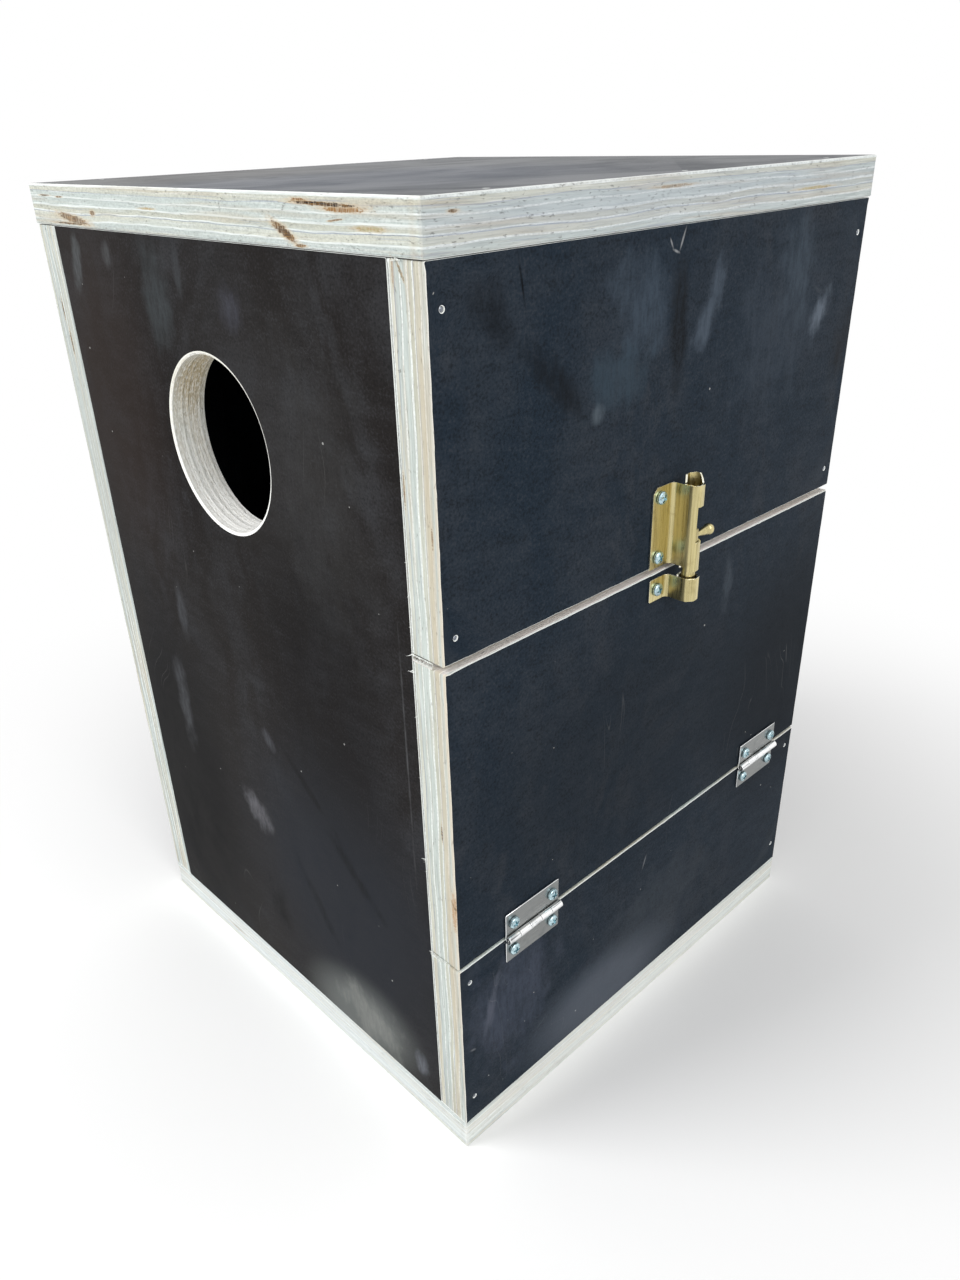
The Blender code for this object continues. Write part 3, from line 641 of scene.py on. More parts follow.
KNOTS += marks_on(
    FRONT_WAY,
    FRONT_FACE,
    KNOT_DEPTH,
    (
        (0.1376, 0.1972, 0.00045, 0.0050, 0, DARK_KNOT, 0.9),
        (0.1429, 0.1570, 0.0014, 0.0120, 0, PINK_KNOT, 0.80),
        (0.1428, 0.1605, 0.0007, 0.0030, 30, BROWN_KNOT, 0.70),
        (0.1273, 0.3448, 0.0005, 0.0070, 0, BROWN_KNOT, 0.8),
        (0.1411, 0.3295, 0.0005, 0.0050, 0, BROWN_KNOT, 0.7),
        (0.1284, 0.4175, 0.0006, 0.0046, 0, MAUVE_KNOT, 0.7),
        # A painted shadow under the tuft of torn fibres at the roof, drawn as a knot
        (0.1324, 0.4178, 0.0006, 0.0036, 28, PAINTED_SHADOW_NOTCH, 0.8),
        (-0.1360, 0.3820, 0.0007, 0.0060, 0, DARK_KNOT, 0.9),
        (-0.1340, 0.3660, 0.0007, 0.0070, 0, DARK_KNOT, 0.8),
    ),
)
KNOTS += [
    (SIDE_WAY, (-0.1446, 0.0400, 0.4330), (0.004, 0.0180, 0.00100), 0, DARK_KNOT, 0.9),
    (FRONT_WAY, (-0.0300, 0.1436, 0.4290), (0.0220, 0.004, 0.00100), 0, BROWN_KNOT, 0.9),
    (FRONT_WAY, (0.0600, 0.1430, 0.0120), (0.0160, 0.004, 0.00100), 0, DARK_KNOT, 0.8),
    (FRONT_WAY, (-0.0700, -0.1430, 0.0065), (0.0120, 0.004, 0.00070), 0, BROWN_KNOT, 0.4),
]

# Wide tones of the wood, some of them painted light and shade: the bore, with painted shade on its
# upper side and painted light on its lower side, painted light on the door's head in the kerf, the
# strips at the front's right, painted shade on the strip at its left, and the edges of the floor and
# the roof, with painted light on the floor's and painted shade on the roof's door side. Each row:
# face, middle, reach, lean, colour, strength
# The bore's tan, the left strip's and the roof side's tones are painted shade; the bore's white, the
# kerf's and the floor side's are painted light, and the bore's white also tips its torn fibres
BORE_TONE = (244, 240, 222)
BORE_PAINTED_SHADE = (190, 170, 124)
BORE_PIT = (160, 142, 112)
BORE_WHITE = (255, 255, 252)
KERF_PAINTED_LIGHT = (244, 230, 226)
STRIP_TAN = (198, 184, 158)
STRIP_PALE = (214, 222, 212)
STRIP_RIM = (226, 214, 192)
LEFT_STRIP_PAINTED_SHADE = (182, 188, 184)
FLOOR_FRONT_TONE = (238, 243, 244)
FLOOR_SIDE_PAINTED_LIGHT = (250, 252, 248)
ROOF_SIDE_PAINTED_SHADE = (172, 180, 190)
ROOF_FRONT_TONE = (196, 206, 202)
WOOD_TONES_AND_PAINTED_LIGHT = (
    (FRONT_WAY, (0.0, -0.1340, 0.3365), (0.100, 0.0400, 0.100), 0, BORE_TONE, 0.50),
    # Painted shade on the bore's upper side
    (FRONT_WAY, (-0.0300, -0.1330, 0.3640), (0.034, 0.0120, 0.036), 0, BORE_PAINTED_SHADE, 0.95),
    # Painted light on the bore's lower side
    (FRONT_WAY, (0.0150, -0.1350, 0.2820), (0.110, 0.0500, 0.090), 0, BORE_WHITE, 1.0),
    # Painted light on the door's head, deep in the kerf
    (SIDE_WAY, (0.1340, 0.0, 0.2757), (0.030, 0.40, 0.0005), 0, KERF_PAINTED_LIGHT, 0.90),
    (FRONT_WAY, (0.1346, -0.1430, 0.2200), (0.0100, 0.003, 0.300), 0, STRIP_PALE, 0.25),
    (FRONT_WAY, (0.1400, -0.1430, 0.3300), (0.0036, 0.003, 0.150), 0, STRIP_TAN, 0.60),
    (FRONT_WAY, (0.1402, -0.1430, 0.1400), (0.0032, 0.003, 0.170), 0, STRIP_TAN, 0.55),
    (FRONT_WAY, (0.1438, -0.1430, 0.2200), (0.0012, 0.003, 0.300), 0, STRIP_RIM, 0.70),
    # Painted shade on the strip at the front's left
    (FRONT_WAY, (-0.1350, -0.1430, 0.3100), (0.0200, 0.003, 0.140), 0, LEFT_STRIP_PAINTED_SHADE, 0.60),
    (FRONT_WAY, (0.0, -0.1430, 0.0090), (0.300, 0.003, 0.0160), 0, FLOOR_FRONT_TONE, 0.60),
    # Painted light on the floor's edge on the door side, where little light bounces
    (SIDE_WAY, (0.1440, 0.0, 0.0090), (0.003, 0.300, 0.0160), 0, FLOOR_SIDE_PAINTED_LIGHT, 0.65),
    # Painted shade, darker and bluer, on the roof's edge on the door side
    (SIDE_WAY, (0.1446, 0.0, 0.4310), (0.003, 0.300, 0.0130), 0, ROOF_SIDE_PAINTED_SHADE, 0.50),
    (FRONT_WAY, (0.0, -0.1436, 0.4310), (0.300, 0.003, 0.0130), 0, ROOF_FRONT_TONE, 0.30),
)

# The torn fibres of the bore reach as far as the hole itself
BORED_FIBRES = (
    (FRONT_WAY, (0.0, -0.1340, 0.3365), (0.0402, 9.0, 0.0402), 0, BORE_PIT, 0.26),
)


def fibre_speck_group():
    """Short torn fibres in a bored hole: brown and pale specks over its veneers."""
    group, given, result, span = start_mark("bored fibres")
    mask = times(group, band(group, span, 0.990, 1.010, 1.0, 0.0), given["Strength"])
    specks = stretched_noise(group, given["Place"], (500, 1500, 400), 3.0, 0.75)
    pits = times(group, mask, band(group, specks, 0.36, 0.50, 1.0, 0.0))
    colour = mix_colour(group, pits, given["Color"], given["Mark"])
    tips = times(group, mask, band(group, specks, 0.46, 0.60, 0.4, 2.4))
    group.links.new(mix_colour(group, tips, colour, shade(BORE_WHITE)), result)
    return group


def start_material(name, specular):
    """A new material with its nodes, its shader at a strength of gloss, and the place on the piece."""
    material = bpy.data.materials.new(name)
    material.use_nodes = True
    tree = material.node_tree
    shader = tree.nodes["Principled BSDF"]
    shader.inputs["Specular IOR Level"].default_value = specular
    here = place_node(tree, "ShaderNodeTexCoord").outputs["Object"]
    return material, tree, shader, here


def feed_shader(tree, shader, colour, roughness, height, depth):
    """Feed a shader its colour, its roughness and a relief of the given depth."""
    tree.links.new(colour, shader.inputs["Base Color"])
    tree.links.new(roughness, shader.inputs["Roughness"])
    bump = place_node(tree, "ShaderNodeBump", {"Height": height, "Distance": depth})
    tree.links.new(bump.outputs["Normal"], shader.inputs["Normal"])


def wood_material(name, warmth):
    """Sawn plywood: veneers, wide tones with painted light and shade among them, the torn fibres of the
    bore, knots with one painted shadow among them, and a rough matt face.
    """
    material, tree, shader, here = start_material(name, 0.25)
    sheet = place_node(tree, "ShaderNodeAttribute", attribute_name="sheet").outputs["Vector"]
    stack = feed_group(tree, VENEER_STACK, {"Sheet": sheet, "Warmth": warmth})
    # Wide tones, some of them painted light and shade
    colour = lay_marks(tree, TINT, here, stack["Color"], WOOD_TONES_AND_PAINTED_LIGHT)
    colour = lay_marks(tree, FIBRE_SPECKS, here, colour, BORED_FIBRES)
    colour = lay_marks(tree, KNOT, here, colour, KNOTS)
    rough = stretched_noise(tree, sheet, (300, 300, 700), 2.0)
    rough = band(tree, rough, 0.3, 0.7, 0.62, 0.82)
    feed_shader(tree, shader, colour, rough, stack["Height"], 0.00030)
    return material


def scuff_group():
    """Dust clouds, specks, hairlines and the face veneer showing through, as masks for the film."""
    masks = ("Clouds", "Flow", "Specks", "Hairs", "Grain")
    group, given, result = start_group(
        "dust and scuffs",
        {"Place": (0, 0, 0)},
        {label: "Float" for label in masks},
    )
    place = given["Place"]
    bent = stretched_noise(group, place, (9, 5, 9), 2.0)
    lean = arrow(group, x=times(group, bent, 0.12))
    drift = arrow_figure(group, "ADD", place, lean)
    flow = stretched_noise(group, drift, (30, 13, 30), 5.0, 0.66)
    group.links.new(band(group, flow, 0.40, 0.66), result["Flow"])
    wide = stretched_noise(group, place, (15, 9, 15), 4.0, 0.6)
    ovals = stretched_noise(group, drift, (62, 34, 62), 4.0, 0.6)
    clouds = times(group, band(group, wide, 0.40, 0.66), band(group, ovals, 0.42, 0.66))
    group.links.new(clouds, result["Clouds"])
    feeds = {"Vector": place, "Scale": 150.0, "Randomness": 1.0}
    cells = place_node(group, "ShaderNodeTexVoronoi", feeds).outputs
    rare = place_node(group, "ShaderNodeSeparateColor", {0: cells["Color"]}).outputs
    size = times(group, rare[1], 0.09)
    dots = figure(group, "LESS_THAN", cells["Distance"], size)
    dots = times(group, dots, band(group, rare[0], 0.90, 0.94))
    group.links.new(dots, result["Specks"])
    lines = stretched_noise(group, drift, (150, 4, 150), 0.0)
    lines = figure(group, "ABSOLUTE", minus(group, lines, 0.47))
    lines = band(group, lines, 0.002, 0.007, 1.0, 0.0)
    seldom = stretched_noise(group, place, (21, 9, 21), 2.0)
    hairs = times(group, lines, band(group, seldom, 0.60, 0.70))
    group.links.new(hairs, result["Hairs"])
    ripples = times(group, stretched_noise(group, drift, (70, 190, 70), 5.0, 0.6), 0.30)
    speckle = stretched_noise(group, place, (820, 820, 820), 3.0, 0.7)
    speckle = times(group, speckle, 0.70)
    group.links.new(plus(group, ripples, speckle), result["Grain"])
    return group


VENEER_STACK = veneer_group()
KNOT = knot_group()
SCUFFS = scuff_group()
SMEAR_AND_REFLECTION = smear_and_reflection_group()
TINT = tint_group()
FIBRE_SPECKS = fibre_speck_group()
SAWN_WOOD = wood_material("sawn plywood edge", 0.55)

WARM_FILM = (29, 26, 25)
# The blue film is a painted reflection of the sky over the warm film, laid on board by board
BLUE_REFLECTION_FILM = (30, 41, 52)
DEEP_FILM = (14, 15, 16)
FILM_DUST = (68, 70, 74)
PALE_SCRATCH = (166, 166, 164)
CHALK_MARK = (150, 152, 154)

# Painted reflections on the film in broad tones, light and dark, then smears of dust, rubs and chalk
# with painted glare and painted dark reflections among them, where the photograph shows them, in rows
# as for the knots
ROOF_WAY = (0, 0, 1)
DOOR_FACE = 0.144
ROOF_TOP = 0.440
MARK_DEPTH = 0.01
FILM_PAINTED_REFLECTIONS = marks_on(
    FRONT_WAY,
    FRONT_FACE,
    MARK_DEPTH,
    (
        (-0.095, 0.345, 0.070, 0.120, 0, (46, 36, 31), 0.45),
        # A painted dark reflection low at the front's left
        (-0.095, 0.110, 0.085, 0.170, 0, (6, 6, 7), 0.85),
        (0.060, 0.110, 0.115, 0.120, 0, (33, 37, 44), 0.80),
        # A painted glare low in the middle of the front
        (0.062, 0.030, 0.062, 0.038, 15, (118, 122, 120), 0.66),
        (0.060, 0.230, 0.070, 0.120, 0, (10, 10, 12), 0.45),
    ),
)
FILM_PAINTED_REFLECTIONS += marks_on(
    SIDE_WAY,
    DOOR_FACE,
    MARK_DEPTH,
    (
        # A painted dark reflection at the door side's far end
        (0.132, 0.172, 0.110, 0.112, 0, (13, 18, 24), 0.75),
        # A painted glare low on the door side
        (-0.036, 0.032, 0.080, 0.036, 0, (98, 104, 114), 0.60),
        (-0.010, 0.190, 0.180, 0.100, 0, (18, 24, 30), 0.40),
    ),
)
FILM_PAINTED_REFLECTIONS += marks_on(
    ROOF_WAY,
    ROOF_TOP,
    MARK_DEPTH,
    (
        # Painted reflections on the roof, blue in the middle and warm at the left
        (0.030, -0.060, 0.140, 0.160, 0, (26, 40, 60), 0.70),
        (-0.100, -0.080, 0.100, 0.150, 0, (36, 32, 29), 0.60),
    ),
)
SMEARS_AND_PAINTED_REFLECTIONS = marks_on(
    FRONT_WAY,
    FRONT_FACE,
    MARK_DEPTH,
    (
        (-0.109, 0.405, 0.0060, 0.018, -18, (88, 92, 94), 0.65),
        (-0.076, 0.412, 0.0070, 0.008, 0, (84, 86, 88), 0.50),
        (-0.034, 0.394, 0.0150, 0.034, 0, (66, 72, 75), 0.55),
        (-0.012, 0.408, 0.0040, 0.014, 0, (72, 76, 80), 0.40),
        (0.026, 0.397, 0.0110, 0.012, -30, (80, 82, 94), 0.34),
        (0.076, 0.330, 0.040, 0.080, 0, (58, 58, 58), 0.30),
        (-0.065, 0.236, 0.006, 0.026, 0, (72, 74, 78), 0.60),
        (-0.083, 0.170, 0.009, 0.040, 0, (72, 74, 78), 0.65),
        # A painted glare low in the middle of the front
        (0.070, 0.036, 0.034, 0.022, -12, (138, 140, 136), 0.55),
        (-0.018, 0.128, 0.0110, 0.019, 54, (104, 104, 109), 0.70),
        (0.006, 0.184, 0.005, 0.009, 40, (84, 86, 92), 0.50),
        (0.034, 0.172, 0.0036, 0.034, 50, (14, 14, 16), 0.70),
        (0.070, 0.134, 0.0056, 0.036, 50, (16, 17, 20), 0.70),
        (0.034, 0.092, 0.0050, 0.036, 36, (16, 17, 20), 0.65),
        (-0.010, 0.066, 0.0140, 0.024, 30, (14, 13, 13), 0.70),
        (0.118, 0.230, 0.0008, 0.080, 0, (104, 106, 108), 0.40),
        # A painted glare low at the front's right
        (0.112, 0.034, 0.007, 0.012, -10, (112, 116, 124), 0.60),
    ),
)
SMEARS_AND_PAINTED_REFLECTIONS += marks_on(
    SIDE_WAY,
    DOOR_FACE,
    MARK_DEPTH,
    (
        (-0.030, 0.394, 0.028, 0.026, 0, (66, 77, 89), 0.65),
        (-0.045, 0.369, 0.028, 0.018, 0, (54, 68, 79), 0.65),
        (-0.057, 0.357, 0.006, 0.005, 0, (92, 102, 110), 0.60),
        (0.013, 0.385, 0.009, 0.025, 26, (80, 90, 102), 0.75),
        (-0.007, 0.385, 0.009, 0.032, -5, DEEP_FILM, 0.80),
        (0.070, 0.370, 0.050, 0.050, 0, (62, 70, 80), 0.45),
        (0.084, 0.397, 0.018, 0.032, 0, (66, 76, 86), 0.60),
        (0.135, 0.355, 0.012, 0.024, 10, (30, 29, 29), 0.60),
        (-0.115, 0.402, 0.011, 0.020, -43, (17, 20, 24), 0.65),
        (-0.079, 0.371, 0.009, 0.030, -50, (17, 20, 24), 0.75),
        (-0.099, 0.409, 0.0010, 0.014, -11, (6, 7, 9), 0.95),
        (0.110, 0.374, 0.009, 0.012, 34, (112, 122, 134), 0.60),
        (-0.0076, 0.4163, 0.0007, 0.0058, 22, CHALK_MARK, 0.90),
        (-0.0115, 0.4122, 0.0032, 0.0007, 20, CHALK_MARK, 0.90),
        (-0.0148, 0.4153, 0.0006, 0.0030, -31, CHALK_MARK, 0.80),
        # A painted glare low on the door side
        (-0.110, 0.080, 0.040, 0.050, 0, (70, 76, 90), 0.60),
        (0.010, 0.062, 0.060, 0.040, 0, (64, 70, 76), 0.40),
        (-0.005, 0.104, 0.0009, 0.008, 20, (120, 122, 126), 0.70),
        (-0.122, 0.090, 0.004, 0.030, 16, (92, 96, 108), 0.50),
        (-0.136, 0.066, 0.003, 0.0012, 20, (130, 132, 136), 0.60),
        (0.050, 0.250, 0.006, 0.022, 0, (76, 84, 92), 0.45),
    ),
)


def film_material(name, specular, roughness):
    """The resin film: near black, satin, with a faint wood grain, dust clouds and small marks, and
    painted reflections: a blue one by board, broad light and dark tones, and glare among the smears.
    """
    material, tree, shader, here = start_material(name, specular)
    sheet = place_node(tree, "ShaderNodeAttribute", attribute_name="sheet").outputs["Vector"]
    painted_blue = place_node(tree, "ShaderNodeAttribute", attribute_name="painted_blue").outputs["Fac"]
    marks = feed_group(tree, SCUFFS, {"Place": sheet})
    grain = marks["Grain"]
    dusty = shade(FILM_DUST)
    scratched = shade(PALE_SCRATCH)
    # Painted reflection: the warm film turns blue by how far its board is painted with the sky
    colour = mix_colour(tree, painted_blue, shade(WARM_FILM), shade(BLUE_REFLECTION_FILM))
    colour = mix_colour(tree, times(tree, marks["Flow"], 0.20), colour, dusty)
    colour = mix_colour(tree, times(tree, marks["Clouds"], 0.34), colour, dusty)
    colour = mix_colour(tree, band(tree, grain, 0.52, 0.36, 0.0, 0.55), colour, shade(DEEP_FILM))
    colour = mix_colour(tree, band(tree, grain, 0.50, 0.68, 0.0, 0.34), colour, dusty)
    # Broad painted reflections, light and dark
    colour = lay_marks(tree, TINT, here, colour, FILM_PAINTED_REFLECTIONS)
    # Smears of dust, rubs and chalk, with painted glare and painted dark reflections among them
    colour = lay_marks(tree, SMEAR_AND_REFLECTION, here, colour, SMEARS_AND_PAINTED_REFLECTIONS)
    colour = mix_colour(tree, times(tree, marks["Hairs"], 0.12), colour, scratched)
    colour = mix_colour(tree, times(tree, marks["Specks"], 0.8), colour, scratched)
    dull = times(tree, plus(tree, marks["Clouds"], marks["Flow"]), 0.07)
    dull = plus(tree, roughness, dull)
    height = times(tree, grain, 2.0)
    height = plus(tree, height, stretched_noise(tree, sheet, (1100, 1100, 1100), 2.0))
    height = minus(tree, height, times(tree, marks["Hairs"], 1.5))
    feed_shader(tree, shader, colour, dull, height, 0.00003)
    return material


FILM = film_material("resin film", 0.045, 0.50)
BOARD_FINISH = (FILM, SAWN_WOOD)
low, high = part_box("front_panel")
entrance = Vector(((low.x + high.x) / 2, high.z - ENTRANCE_DROP))
saw_board(
    "front_panel",
    across=1,
    outer=-1,
    materials=BOARD_FINISH,
    shift=0,
    painted_blue=0.0,
    seed=1,
    butted=["left", "right", "foot", "head"],
    holes=[(entrance, ENTRANCE_RADIUS)],
)

# Back panel and left side wall
# Boards of the same sheet without a hole; the left wall covers the front and back panels' edges.
# Brads through it hold them, each driven just below the film.
NAIL_PIT = ((0.00132, 0), (0.00114, 0.00008), (0.00104, 0.00026), (0.00103, 0.0012))
saw_board(
    "back_panel",
    across=1,
    outer=1,
    materials=BOARD_FINISH,
    shift=1,
    painted_blue=0.15,
    seed=2,
    butted=["left", "right", "foot", "head"],
)
saw_board(
    "left_side_panel",
    across=0,
    outer=-1,
    materials=BOARD_FINISH,
    shift=2,
    painted_blue=0.35,
    seed=3,
    butted=["foot", "head"],
    sinks=[(numbered("left_side_nail", 6), NAIL_PIT)],
)

# Door side: lower panel, inspection door and upper panel
# One board of the same plywood sawn across twice, so that the middle piece swings down as a door.
# The saw tore the veneers at the near corner of both cuts.
SCREW_PILOT = ((0.0012, 0), (0.0011, 0.0105), (0.0004, 0.0118))
FRAY_REACH = 0.007
DOOR_SIDE = {
    "across": 0,
    "outer": 1,
    "materials": BOARD_FINISH,
    "shift": 3,
    # The door side's film is painted fully blue, as a painted reflection of the sky
    "painted_blue": 1.0,
    "seed": 4,
    "turned_over": True,
}
lower_low, lower_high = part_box("lower_side_panel")
door_low, door_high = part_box("inspection_door")
upper_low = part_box("upper_side_panel")[0]
door_screws = numbered("near_hinge_door_screw", 2) + numbered("far_hinge_door_screw", 2)
fixed_screws = numbered("near_hinge_fixed_screw", 2) + numbered("far_hinge_fixed_screw", 2)
bolt_screws = numbered("bolt_body_screw", 2)
saw_board(
    "lower_side_panel",
    **DOOR_SIDE,
    frayed=[(Vector((lower_low.y, lower_high.z)), FRAY_REACH)],
    butted=["foot"],
    sinks=[(numbered("lower_side_nail", 4), NAIL_PIT), (fixed_screws, SCREW_PILOT)],
)
saw_board(
    "inspection_door",
    **DOOR_SIDE,
    body="door",
    frayed=[
        (Vector((door_low.y, door_low.z)), FRAY_REACH),
        (Vector((door_low.y, door_high.z)), FRAY_REACH),
    ],
    sinks=[([*door_screws, "bolt_keeper_screw"], SCREW_PILOT)],
)
saw_board(
    "upper_side_panel",
    **DOOR_SIDE,
    frayed=[(Vector((upper_low.y, upper_low.z)), FRAY_REACH)],
    butted=["head"],
    sinks=[(numbered("upper_side_nail", 4), NAIL_PIT), (bolt_screws, SCREW_PILOT)],
)

# Roof and floor
# Two boards of the same plywood that cap all four walls; the roof stands proud by half a millimetre.
# Brads go through them into the walls. The roof's film is a little more polished.
ROOF_FILM = film_material("polished resin film", 0.16, 0.34)
saw_board(
    "roof_panel",
    across=2,
    outer=1,
    materials=(ROOF_FILM, SAWN_WOOD),
    shift=5,
    # The roof's film is painted much of the way blue, as a painted reflection of the sky
    painted_blue=0.7,
    seed=8,
    sinks=[(numbered("roof_nail", 6), NAIL_PIT)],
)
saw_board(
    "floor_panel",
    across=2,
    outer=-1,
    materials=BOARD_FINISH,
    shift=6,
    painted_blue=0.2,
    seed=9,
    sinks=[(numbered("floor_nail", 4), NAIL_PIT)],
)

# Brads
# Bright steel brads, driven a fifth of a millimetre below the film. Only their heads show.
# A node tree makes one brad and sets a copy of it on each nail's place, wall by wall.
BRAD_HEAD = 0.0010
BRAD_HEAD_HEIGHT = 0.0006
BRAD_SHANK = 0.00075
BRAD_LENGTH = 0.035
BRAD_SIDES = 12
BRAD_CROWN = 0.62
BRAD_POINT = 2.5
BRAD_TURN = 37


def shape_node(tree, kind, feeds=None, **traits):
    """Add a geometry node; what it makes comes back."""
    return place_node(tree, "GeometryNode" + kind, feeds, **traits).outputs[0]


def start_tree(name, inputs):
    """An empty geometry tree with a mesh in, named sizes, a material, and a mesh out."""
    tree = bpy.data.node_groups.new(name, "GeometryNodeTree")
    tree.interface.new_socket("Geometry", in_out="INPUT", socket_type="NodeSocketGeometry")
    name_inputs(tree, inputs)
    tree.interface.new_socket("Material", in_out="INPUT", socket_type="NodeSocketMaterial")
    tree.interface.new_socket("Geometry", in_out="OUTPUT", socket_type="NodeSocketGeometry")
    entry = tree.nodes.new("NodeGroupInput")
    leave = tree.nodes.new("NodeGroupOutput")
    return tree, entry.outputs, leave.inputs["Geometry"]


def join_up(tree, *parts):
    """Several forms inside a tree as one, in the order given."""
    node = tree.nodes.new("GeometryNodeJoinGeometry")
    for part in parts[::-1]:
        tree.links.new(part, node.inputs[0])
    return node.outputs[0]


def shifted(tree, geometry, x=0, y=0, z=0):
    """Move a form inside a tree; each step may be a number or a socket."""
    feeds = {"Geometry": geometry, "Translation": arrow(tree, x, y, z)}
    return shape_node(tree, "Transform", feeds)


def round_bar(tree, sides, radius, depth, rise):
    """A straight round bar inside a tree, its middle raised to a height."""
    feeds = {"Vertices": sides, "Radius": radius, "Depth": depth}
    return shifted(tree, shape_node(tree, "MeshCylinder", feeds), z=rise)


def round_taper(tree, sides, top, foot, depth, rise):
    """A round taper inside a tree between two radii, its foot raised to a height."""
    feeds = {"Vertices": sides, "Radius Top": top, "Radius Bottom": foot, "Depth": depth}
    return shifted(tree, shape_node(tree, "MeshCone", feeds), z=rise)


def round_wire(tree, route, sides, radius):
    """A round section drawn along a curve inside a tree, its ends closed."""
    section = shape_node(tree, "CurvePrimitiveCircle", {"Resolution": sides, "Radius": radius})
    return shape_node(tree, "CurveToMesh", {0: route, 1: section, "Fill Caps": True})


def finish_tree(tree, geometry, given, result):
    """End a tree with real mesh, smooth to its sharp edges, in its material."""
    real = shape_node(tree, "RealizeInstances", {0: geometry})
    real = shape_node(tree, "SetShadeSmooth", {"Geometry": real})
    real = shape_node(tree, "SetMaterial", {"Geometry": real, "Material": given["Material"]})
    tree.links.new(real, result)
    return tree


def point_value(tree, name, kind):
    """A value that each point of the mesh carries."""
    return shape_node(tree, "InputNamedAttribute", {"Name": name}, data_type=kind)


def turned_to(tree, way):
    """The turn that lays a form's upward axis along a way."""
    return place_node(tree, "FunctionNodeAlignRotationToVector", {"Vector": way}, axis="Z").outputs[0]


def face_outward(tree, geometry, single):
    """Copies of one fastener on every point, its head along the point's own outward direction."""
    turned = turned_to(tree, point_value(tree, "outward", "FLOAT_VECTOR"))
    feeds = {"Points": geometry, "Instance": single, "Rotation": turned}
    copies = shape_node(tree, "InstanceOnPoints", feeds)
    about = arrow(tree, z=point_value(tree, "spin", "FLOAT"))
    feeds = {"Instances": copies, "Rotation": about, "Local Space": True}
    return shape_node(tree, "RotateInstances", feeds)


def run_tree(tree, source, values):
    """Run a geometry tree on a mesh and return its result as a plain mesh."""
    holder = bpy.data.objects.new("holder", source)
    bpy.context.scene.collection.objects.link(holder)
    modifier = holder.modifiers.new("tree", "NODES")
    modifier.node_group = tree
    for item in tree.interface.items_tree:
        if item.in_out == "INPUT" and item.name in values:
            modifier[item.identifier] = values[item.name]
    graph = bpy.context.evaluated_depsgraph_get()
    made = bpy.data.meshes.new_from_object(holder.evaluated_get(graph))
    holder.modifiers.clear()
    bpy.data.objects.remove(holder)
    return made


def outward_points(name, places, edges, ways):
    """A mesh of points, joined by edges or loose, that each carry the way out."""
    mesh = bpy.data.meshes.new(name)
    mesh.from_pydata(places, edges, [])
    mesh.attributes.new("outward", "FLOAT_VECTOR", "POINT")
    for i, out in enumerate(ways):
        mesh.attributes["outward"].data[i].vector = out
    return mesh


def fastener_points(places):
    """A mesh of points, each with the way out and the turn of the fastener's head."""
    spots, ways, turns = zip(*places)
    mesh = outward_points("fastener points", spots, [], ways)
    mesh.attributes.new("spin", "FLOAT", "POINT")
    for i, turn in enumerate(turns):
        mesh.attributes["spin"].data[i].value = math.radians(turn)
    return mesh


def joined(meshes):
    """Several meshes as one."""
    form = bmesh.new()
    for mesh in meshes:
        form.from_mesh(mesh)
    form.to_mesh(meshes[-1])
    form.free()
    return meshes[-1]


def wear_group():
    """Brushing, stains and pale and dark streaks for small metal parts; on the hinge knuckles the strong
    streaks are painted reflections.
    """
    group, given, result = start_group(
        "worn metal",
        {
            "Place": (0, 0, 0),
            "Color": (0.5, 0.5, 0.5, 1),
            "Stain": (0.2, 0.2, 0.2, 1),
            "Brushing": (900, 900, 60),
            "Streaks": 0.3,
            "Roughness": 0.3,
        },
        {"Color": "Color", "Roughness": "Float", "Height": "Float"},
    )
    brushed = stretched_noise(group, given["Place"], given["Brushing"], 3.0, 0.6)
    stains = stretched_noise(group, given["Place"], (130, 130, 130), 3.0, 0.6)
    stained = band(group, stains, 0.50, 0.78, 0.0, 0.6)
    colour = mix_colour(group, stained, given["Color"], given["Stain"])
    pale = mix_colour(group, 1.0, colour, (1.55, 1.55, 1.55, 1), "MULTIPLY")
    streak = times(group, band(group, brushed, 0.42, 0.68), given["Streaks"])
    colour = mix_colour(group, streak, colour, pale)
    dark = times(group, band(group, brushed, 0.46, 0.28), given["Streaks"])
    group.links.new(mix_colour(group, dark, colour, given["Stain"]), result["Color"])
    rough = plus(group, given["Roughness"], times(group, stained, 0.2))
    rough = plus(group, rough, band(group, brushed, 0.3, 0.7, -0.04, 0.06))
    group.links.new(rough, result["Roughness"])
    group.links.new(brushed, result["Height"])
    return group


WORN_METAL = wear_group()


def metal_material(name, colour, stain, roughness, brushing, streaks, depth):
    """A metal with brushing, stains and rubbed spots; brushing is its repeats in a metre."""
    material, tree, shader, here = start_material(name, 0.5)
    shader.inputs["Metallic"].default_value = 1
    feeds = {"Place": here, "Color": shade(colour), "Stain": shade(stain), "Brushing": brushing}
    feeds.update({"Streaks": streaks, "Roughness": roughness})
    worn = feed_group(tree, WORN_METAL, feeds)
    feed_shader(tree, shader, worn["Color"], worn["Roughness"], worn["Height"], depth)
    return material


BRAD_STEEL = metal_material(
    "brad steel", (128, 132, 140), (70, 70, 74), 0.26, (1400, 1400, 1400), 0.3, 0.00002
)


